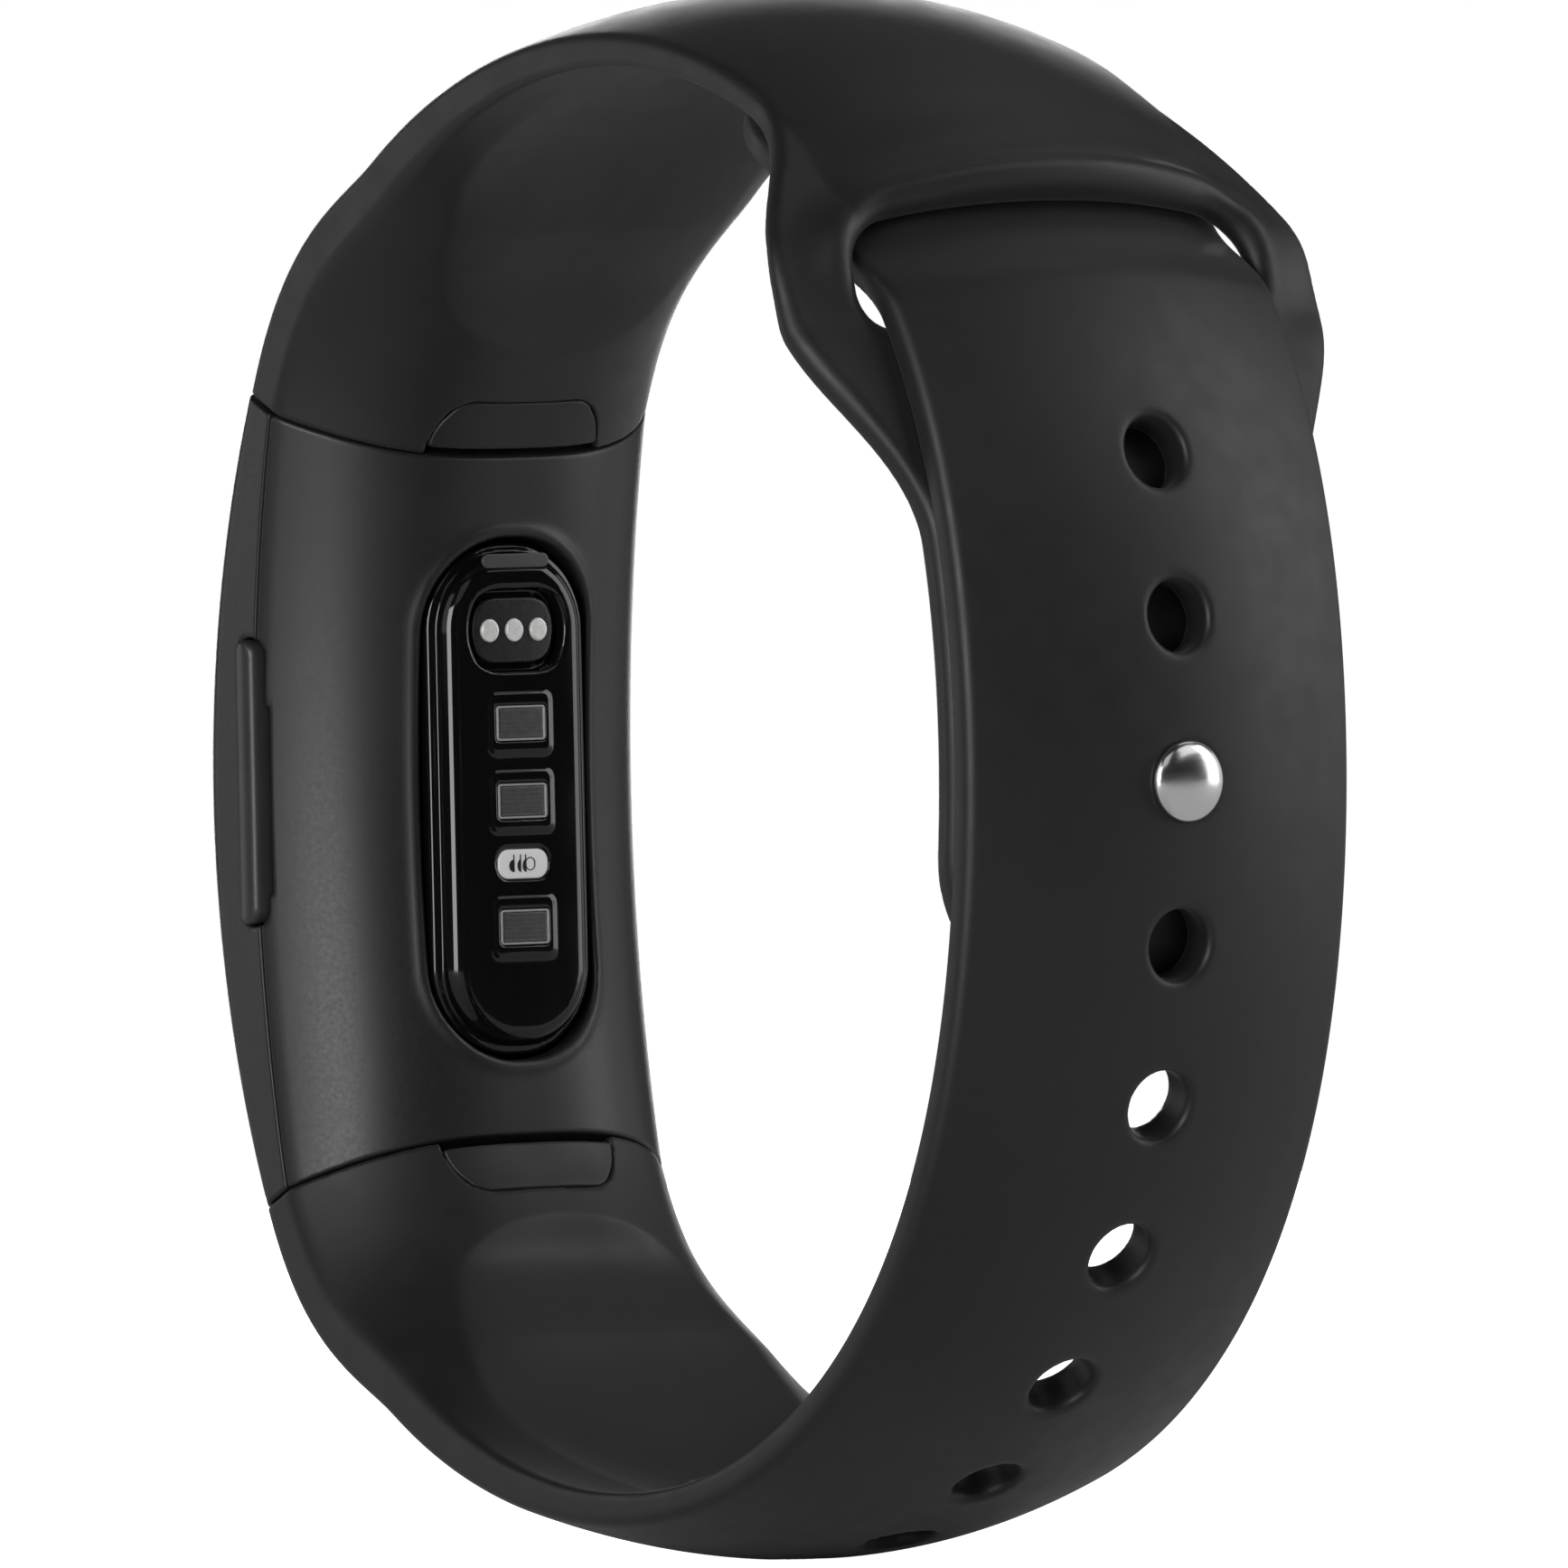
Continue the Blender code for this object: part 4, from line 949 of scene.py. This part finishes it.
def slot_outline(height, across, grow):
    return rounded_box(height - SLOT_Z, across, 0.34 + grow, 1.85 + grow, 0.33 + grow)


def diode_outline(height, across, place, grow):
    return rounded_box(height - place, across, 0.82 + grow, 1.36 + grow, 0.16 + grow)


def led_outline(height, across, grow):
    return rounded_box(height - LED_Z, across, 0.7 + grow, 1.4 + grow, 0.6 + grow)


def window_field(height, across, depth):
    """The domed window on its step, with sockets for the contacts, sensors and emitter."""
    top = window_top(across)
    for place in SENSOR_Z:
        pad = rounded_box(height - place, across, 1.42, 1.7, 0.35)
        top = top + 0.07 * (1.0 - smooth_step(pad, -0.12, 0.1))
    low = both(window_outline(height, across, 0.0), depth - top + WINDOW_STEP, 0.25)
    tall = both(window_outline(height, across, -0.5), depth - top, 0.75)
    body = np.maximum(either(low, tall, 0.15), 8.45 - depth)
    body = both(body, -np.maximum(charge_outline(height, across, 0.0), top - 1.0 - depth), 0.16)
    floor = top - POCKET_DEPTH - depth
    body = both(body, -np.maximum(slot_outline(height, across, 0.03), floor), 0.05)
    body = both(body, -np.maximum(led_outline(height, across, 0.04), floor), 0.06)
    for place in SENSOR_Z:
        body = both(body, -np.maximum(diode_outline(height, across, place, 0.03), floor), 0.04)
    cavity = window_outline(height, across, -WINDOW_WALL)
    return np.maximum(body, -np.maximum(cavity, depth - top + 1.35))


def inlay_field(outline, proud, deep, rounding):
    """A flush piece let into the window's face."""

    def field(height, across, depth):
        top = window_top(across) + proud
        return both(np.maximum(depth - top, top - deep - depth), outline(height, across), rounding)

    return field


def inlay(name, node, outline, reach, proud, deep, rounding, material, step=0.07):
    """Carves an inlay. reach is its lowest and highest height and its half width."""
    low_along, high_along, half_across = reach
    depths = graded(WINDOW_DEPTH - 1.5, WINDOW_DEPTH + 0.3, step)
    axes = (graded(low_along, high_along, step), graded(-half_across, half_across, step), depths)
    field = inlay_field(outline, proud, deep, rounding)
    piece = carve(name, field, place_straight, axes, material)
    return stands_for(piece, node, "tracker")


def make_window():
    axes = (graded(-12.5, 12.2, 0.12), graded(-4.8, 4.8, 0.12), graded(8.2, 10.9, 0.12))
    piece = carve("sensor_window_glass", window_field, place_straight, axes, WINDOW_GLOSS)
    stands_for(piece, "sensor_window", "tracker")
    make_slot_cover()
    for number, place in enumerate(SENSOR_Z, 1):
        make_diode(number, place)
    make_led()


def make_slot_cover():
    def cover(height, across):
        return slot_outline(height, across, 0.0)

    reach = (SLOT_Z - 0.6, SLOT_Z + 0.6, 2.1)
    name = "window_slot_cover"
    inlay(name, None, cover, reach, -0.04, 0.2, 0.05, SLOT_GREY)


def make_diode(number, place):
    """A photodiode's window: a dark face inside a thin bright rim."""

    def rim(along, across):
        outer = diode_outline(along, across, place, 0.0)
        inner = diode_outline(along, across, place, -DIODE_RIM_WIDTH)
        return np.maximum(outer, -inner)

    def face(along, across):
        return diode_outline(along, across, place, -DIODE_RIM_WIDTH - 0.01)

    reach = (place - 1.1, place + 1.1, 1.6)
    name = f"photodiode_{number}"
    inlay(f"{name}_rim", None, rim, reach, 0.1, 0.25, 0.04, RIM, 0.05)
    inlay(f"{name}_face", name, face, reach, 0.03, 0.2, 0.04, DIODE, 0.06)


def die_outline(height, across):
    """The emitter's dies: three dark crescents with a lead each, and a pale bar's outline."""
    bar = rounded_box(height, across - 0.36, 0.29, 0.25, 0.24)
    shape = np.abs(bar) - 0.025
    for right, width in ((-0.53, 0.29), (-0.16, 0.2), (0.13, 0.2)):
        belly = (np.hypot((across - right) / width, (height + 0.08) / 0.3) - 1.0) * width
        shape = np.minimum(shape, np.maximum(belly, across - right))
        lead = rounded_box(height - 0.15, across - right + 0.03, 0.3, 0.03, 0.02)
        shape = np.minimum(shape, lead)
    return shape


def make_led():
    """The light emitter: a white capsule with dark dies."""

    def face(height, across):
        return led_outline(height, across, 0.0)

    def dies(height, across):
        return die_outline(height - LED_Z, across)

    name = "led_emitter"
    reach = (LED_Z - 1.0, LED_Z + 1.0, 1.7)
    inlay(f"{name}_capsule", name, face, reach, 0.02, 0.25, 0.1, LED_WHITE, 0.05)
    reach = (LED_Z - 0.6, LED_Z + 0.6, 1.0)
    inlay("led_dies", None, dies, reach, 0.05, 0.1, 0.01, LED_DARK, 0.03)


def turned_piece(name, profile, foot, axis, material, sides=64):
    """A smooth solid of revolution. profile is (radius, height) pairs from the middle of its
    bottom to the middle of its top."""
    turn = np.array(Vector((0.0, 0.0, 1.0)).rotation_difference(Vector(axis)).to_matrix())
    angles = np.linspace(0.0, 2 * math.pi, sides, endpoint=False)
    rings = []
    for radius, height in profile:
        ring = np.stack([radius * np.cos(angles), radius * np.sin(angles), np.full(sides, height)], 1)
        rings.append(ring)
    points = np.concatenate(rings) @ turn.T + np.array(foot)
    here = np.arange(sides)
    after = (here + 1) % sides
    faces = []
    for index in range(len(profile) - 1):
        low = index * sides
        faces.append(np.stack([low + here, low + after, low + sides + after, low + sides + here], 1))
    return mesh_piece(name, points, np.concatenate(faces), material)


def rounded_profile(steps):
    """Radius and height pairs through corner points, each eased by a curve of its own size."""
    pairs = [steps[0][:2]]
    for before, here, after in zip(steps, steps[1:], steps[2:]):
        ease = here[2]
        corner = np.array(here[:2])
        start = corner + ease * unit(np.array(before[:2]) - corner)
        end = corner + ease * unit(np.array(after[:2]) - corner)
        for share in np.linspace(0.0, 1.0, 7):
            first = mix(start, corner, share)
            second = mix(corner, end, share)
            pairs.append(tuple(mix(first, second, share)))
    pairs.append(steps[-1][:2])
    return pairs


def unit(vector):
    return vector / np.hypot(*vector)


def make_stud():
    """The stud's domed head sits in the hole that it fastens."""
    _, _, x, z, inward_x, inward_z = (float(np.interp(0.0, RING[1], column)) for column in RING)
    foot = (x + inward_x * STUD_FOOT, 0.0, z + inward_z * STUD_FOOT)
    rim = STUD_HEAD + STUD_RIM
    corners = (
        (0.001, 0.0, 0.0),
        (STUD_SHANK, 0.0, 0.1),
        (STUD_SHANK, STUD_HEAD, 0.1),
        (STUD_RADIUS, STUD_HEAD, 0.12),
        (STUD_RADIUS, rim, 0.0),
    )
    turns = np.linspace(0, math.pi / 2, 14)
    dome = [(STUD_RADIUS * math.cos(a), rim + STUD_DOME * math.sin(a)) for a in turns]
    dome[-1] = (0.001, dome[-1][1])
    profile = rounded_profile(corners)[:-1] + dome
    outwards = (-inward_x, 0.0, -inward_z)
    made = turned_piece("clasp_stud_turned", profile, foot, outwards, STEEL)
    stands_for(made, "clasp_stud", "band")


def make_charging():
    """The contact plate in the recess, and three domed pads."""

    def plate(along, across):
        return charge_outline(along, across, -0.42)

    reach = (CHARGE_Z - 2.4, CHARGE_Z + 2.4, 2.9)
    name = "charging_insert"
    inlay(f"{name}_plate", name, plate, reach, -0.42, 0.5, 0.08, RECESS, 0.09)
    for index in (-1, 0, 1):
        across = index * PIN_PITCH
        reach = (CHARGE_Z - 0.8, CHARGE_Z + 0.8, 2.2)

        def pad(height, side, across=across):
            """Two arcs that meet in blunt points above and below."""
            left = np.hypot(height - CHARGE_Z, side - across - 0.09) - 0.57
            right = np.hypot(height - CHARGE_Z, side - across + 0.09) - 0.57
            return both(left, right, 0.05)

        node = f"charging_pin_{index + 2}"
        inlay(f"{node}_pad", node, pad, reach, -0.24, 0.35, 0.1, PAD, 0.06)


def make_button():
    def field(height, across, deep):
        face = -HALF_WIDTH - 0.5 + 0.2 * ((deep - BUTTON_DEPTH) / BUTTON_HALF_HEIGHT) ** 2
        slab = np.maximum(face - across, across + HALF_WIDTH - 1.3)
        return both(slab, button_outline(height, deep, 0.0), 0.3)

    heights = graded(BUTTON_Z - 7.0, BUTTON_Z + 7.0, 0.11)
    axes = (heights, graded(-11.4, -8.9, 0.11), graded(2.3, 4.6, 0.11))
    piece = carve("side_button_cap", field, place_straight, axes, BUTTON)
    stands_for(piece, "side_button", "side_button")


# ---- Finishes of the CAD pieces that stay ----


def finish(material, *names):
    """Gives CAD nodes their material, whatever slots they came with."""
    for name in names:
        for slot in NODES[name].material_slots:
            slot.link = "DATA"
            slot.material = material


def finish_inside():
    finish(circuit_board(), "main_board", "sensor_board")
    finish(plastic("chip_epoxy", 0.011, 0.019, 0.36, 3000.0), "processor", "radio_chip", "motion_sensor")
    finish(
        plastic("seal_rubber_black", 0.02, 0.035, 0.66, 1800.0),
        "housing_gasket",
        "display_gasket",
        "button_seal",
        "battery_pad",
    )
    finish(cell_foil(), "battery")
    sheet = brushed_metal("sheet_steel", 0.6)
    finish(sheet, "chassis_plate", "antenna_strip", "motor_cup", "motor_lid")
    finish(steel("turned_steel", 0.7, (0.12, 0.25)), "motor_shaft", "stud_washer", "button_switch")
    finish(brushed_metal("sensor_can", 0.7), "pressure_sensor")
    finish(brushed_metal("tungsten_weight", 0.35), "motor_rotor")
    finish(flex_film(), "display_flex")
    finish(gloss_black("panel_gloss", 0.006, (0.05, 0.12)), "display_panel")
    resin = plastic("connector_resin", 0.016, 0.026, 0.42, 2500.0)
    finish(resin, "upper_connector", "lower_connector", "board_connector")


# ---- Floor, light and camera ----


PAPER_HALF_SIZE = 40.0  # metres, so that the paper runs to the horizon
PAPER_GLOW = 1.0  # lifts the paper to white in the camera's eye alone
ROOM_GLOW = 0.015  # the room's light on surfaces; the camera itself sees it white

LIGHT_DISTANCE = 0.5  # metres

CAMERA_AIM = Vector((0.35, 0.5, -0.48)) * MM
CAMERA_DISTANCE = 1.3884  # metres
CAMERA_AZIMUTH = math.radians(55.905)
CAMERA_TILT = math.radians(1.178)
CAMERA_ROLL = math.radians(-1.231)
CAMERA_LENS = 689.5
CAMERA_SENSOR = 36.0


def make_stage():
    floor_z = cad_box[0].z
    half = PAPER_HALF_SIZE
    mesh = bpy.data.meshes.new("floor")
    corners = [(-half, -half, floor_z), (half, -half, floor_z), (half, half, floor_z), (-half, half, floor_z)]
    mesh.from_pydata(corners, [], [(0, 1, 2, 3)])
    look = Shader("floor_paper")
    look.set(Base_Color=look.blend(look.noise(30.0), grey(0.76), grey(0.8)), Roughness=0.9)
    look.set(Specular_IOR_Level=0.1)
    seen = look.add("ShaderNodeLightPath").outputs["Is Camera Ray"]
    look.set(Emission_Color=grey(1.0), Emission_Strength=look.maths("MULTIPLY", seen, PAPER_GLOW))
    mesh.materials.append(look.made)
    floor = bpy.data.objects.new("floor", mesh)
    bpy.context.scene.collection.objects.link(floor)


def make_world():
    """A pale room: white where the camera sees it, and nearly dark where surfaces reflect it."""
    world = bpy.data.worlds.new("room")
    bpy.context.scene.world = world
    world.use_nodes = True
    tree = world.node_tree
    background = tree.nodes["Background"]
    path = tree.nodes.new("ShaderNodeLightPath")
    strength = tree.nodes.new("ShaderNodeMapRange")
    strength.inputs["To Min"].default_value = ROOM_GLOW
    strength.inputs["To Max"].default_value = 1.0
    tree.links.new(path.outputs["Is Camera Ray"], strength.inputs["Value"])
    tree.links.new(strength.outputs["Result"], background.inputs["Strength"])
    background.inputs["Color"].default_value = grey(1.0)


def softbox(name, azimuth, elevation, power, width=0.26, height=0.26):
    """An area light aimed at the object. Azimuth 0 is on the -Y side and 90 on the +X side."""
    light = bpy.data.lights.new(name, "AREA")
    light.shape = "RECTANGLE"
    light.size = width
    light.size_y = height
    light.energy = power
    made = bpy.data.objects.new(name, light)
    turn = math.radians(azimuth)
    rise = math.radians(elevation)
    aim = Vector((math.sin(turn) * math.cos(rise), -math.cos(turn) * math.cos(rise), math.sin(rise)))
    made.location = aim * LIGHT_DISTANCE
    made.rotation_mode = "QUATERNION"
    made.rotation_quaternion = aim.to_track_quat("Z", "Y")
    made.visible_camera = False
    bpy.context.scene.collection.objects.link(made)


def make_lights():
    """A dim studio with upright panels: one lights the left shoulders, one the band's far
    side, and one behind on the left draws the rims. Overhead stays nearly dark."""
    softbox("key_left", 30.0, 7.0, 1.6, 0.22, 0.34)
    softbox("front_left", 0.0, 22.0, 0.25, height=0.4)
    softbox("camera_high", 60.0, 38.0, 0.1)
    softbox("right_rear", 150.0, 14.0, 0.85, 0.22, 0.5)
    softbox("right_high", 120.0, 38.0, 0.18)
    softbox("back_high", 180.0, 65.0, 0.1)
    softbox("back_low", 180.0, 8.0, 0.12)
    softbox("rim_left", 240.0, 8.0, 1.5)
    softbox("rim_low", 300.0, 8.0, 0.2)


def make_camera():
    """A long lens on the +X side, turned towards -Y and a little above the middle."""
    level = math.cos(CAMERA_TILT)
    right = Vector((math.cos(CAMERA_AZIMUTH), math.sin(CAMERA_AZIMUTH), 0.0))
    ahead = Vector((-right.y * level, right.x * level, -math.sin(CAMERA_TILT)))
    up = right.cross(ahead)
    rolled_right = right * math.cos(CAMERA_ROLL) + up * math.sin(CAMERA_ROLL)
    rolled_up = up * math.cos(CAMERA_ROLL) - right * math.sin(CAMERA_ROLL)
    data = bpy.data.cameras.new("camera")
    data.lens = CAMERA_LENS
    data.sensor_width = CAMERA_SENSOR
    data.clip_start = 0.05
    data.clip_end = 200.0
    camera = bpy.data.objects.new("camera", data)
    turn = Matrix((rolled_right, rolled_up, -ahead)).transposed()
    place = Matrix.Translation(CAMERA_AIM - ahead * CAMERA_DISTANCE)
    camera.matrix_world = place @ turn.to_4x4()
    bpy.context.scene.collection.objects.link(camera)
    bpy.context.scene.camera = camera
    bpy.context.scene.view_settings.view_transform = "Standard"


make_band()
make_shells()
make_front_glass()
make_window()
make_charging()
make_button()
make_stud()
finish_inside()
make_stage()
make_world()
make_lights()
make_camera()
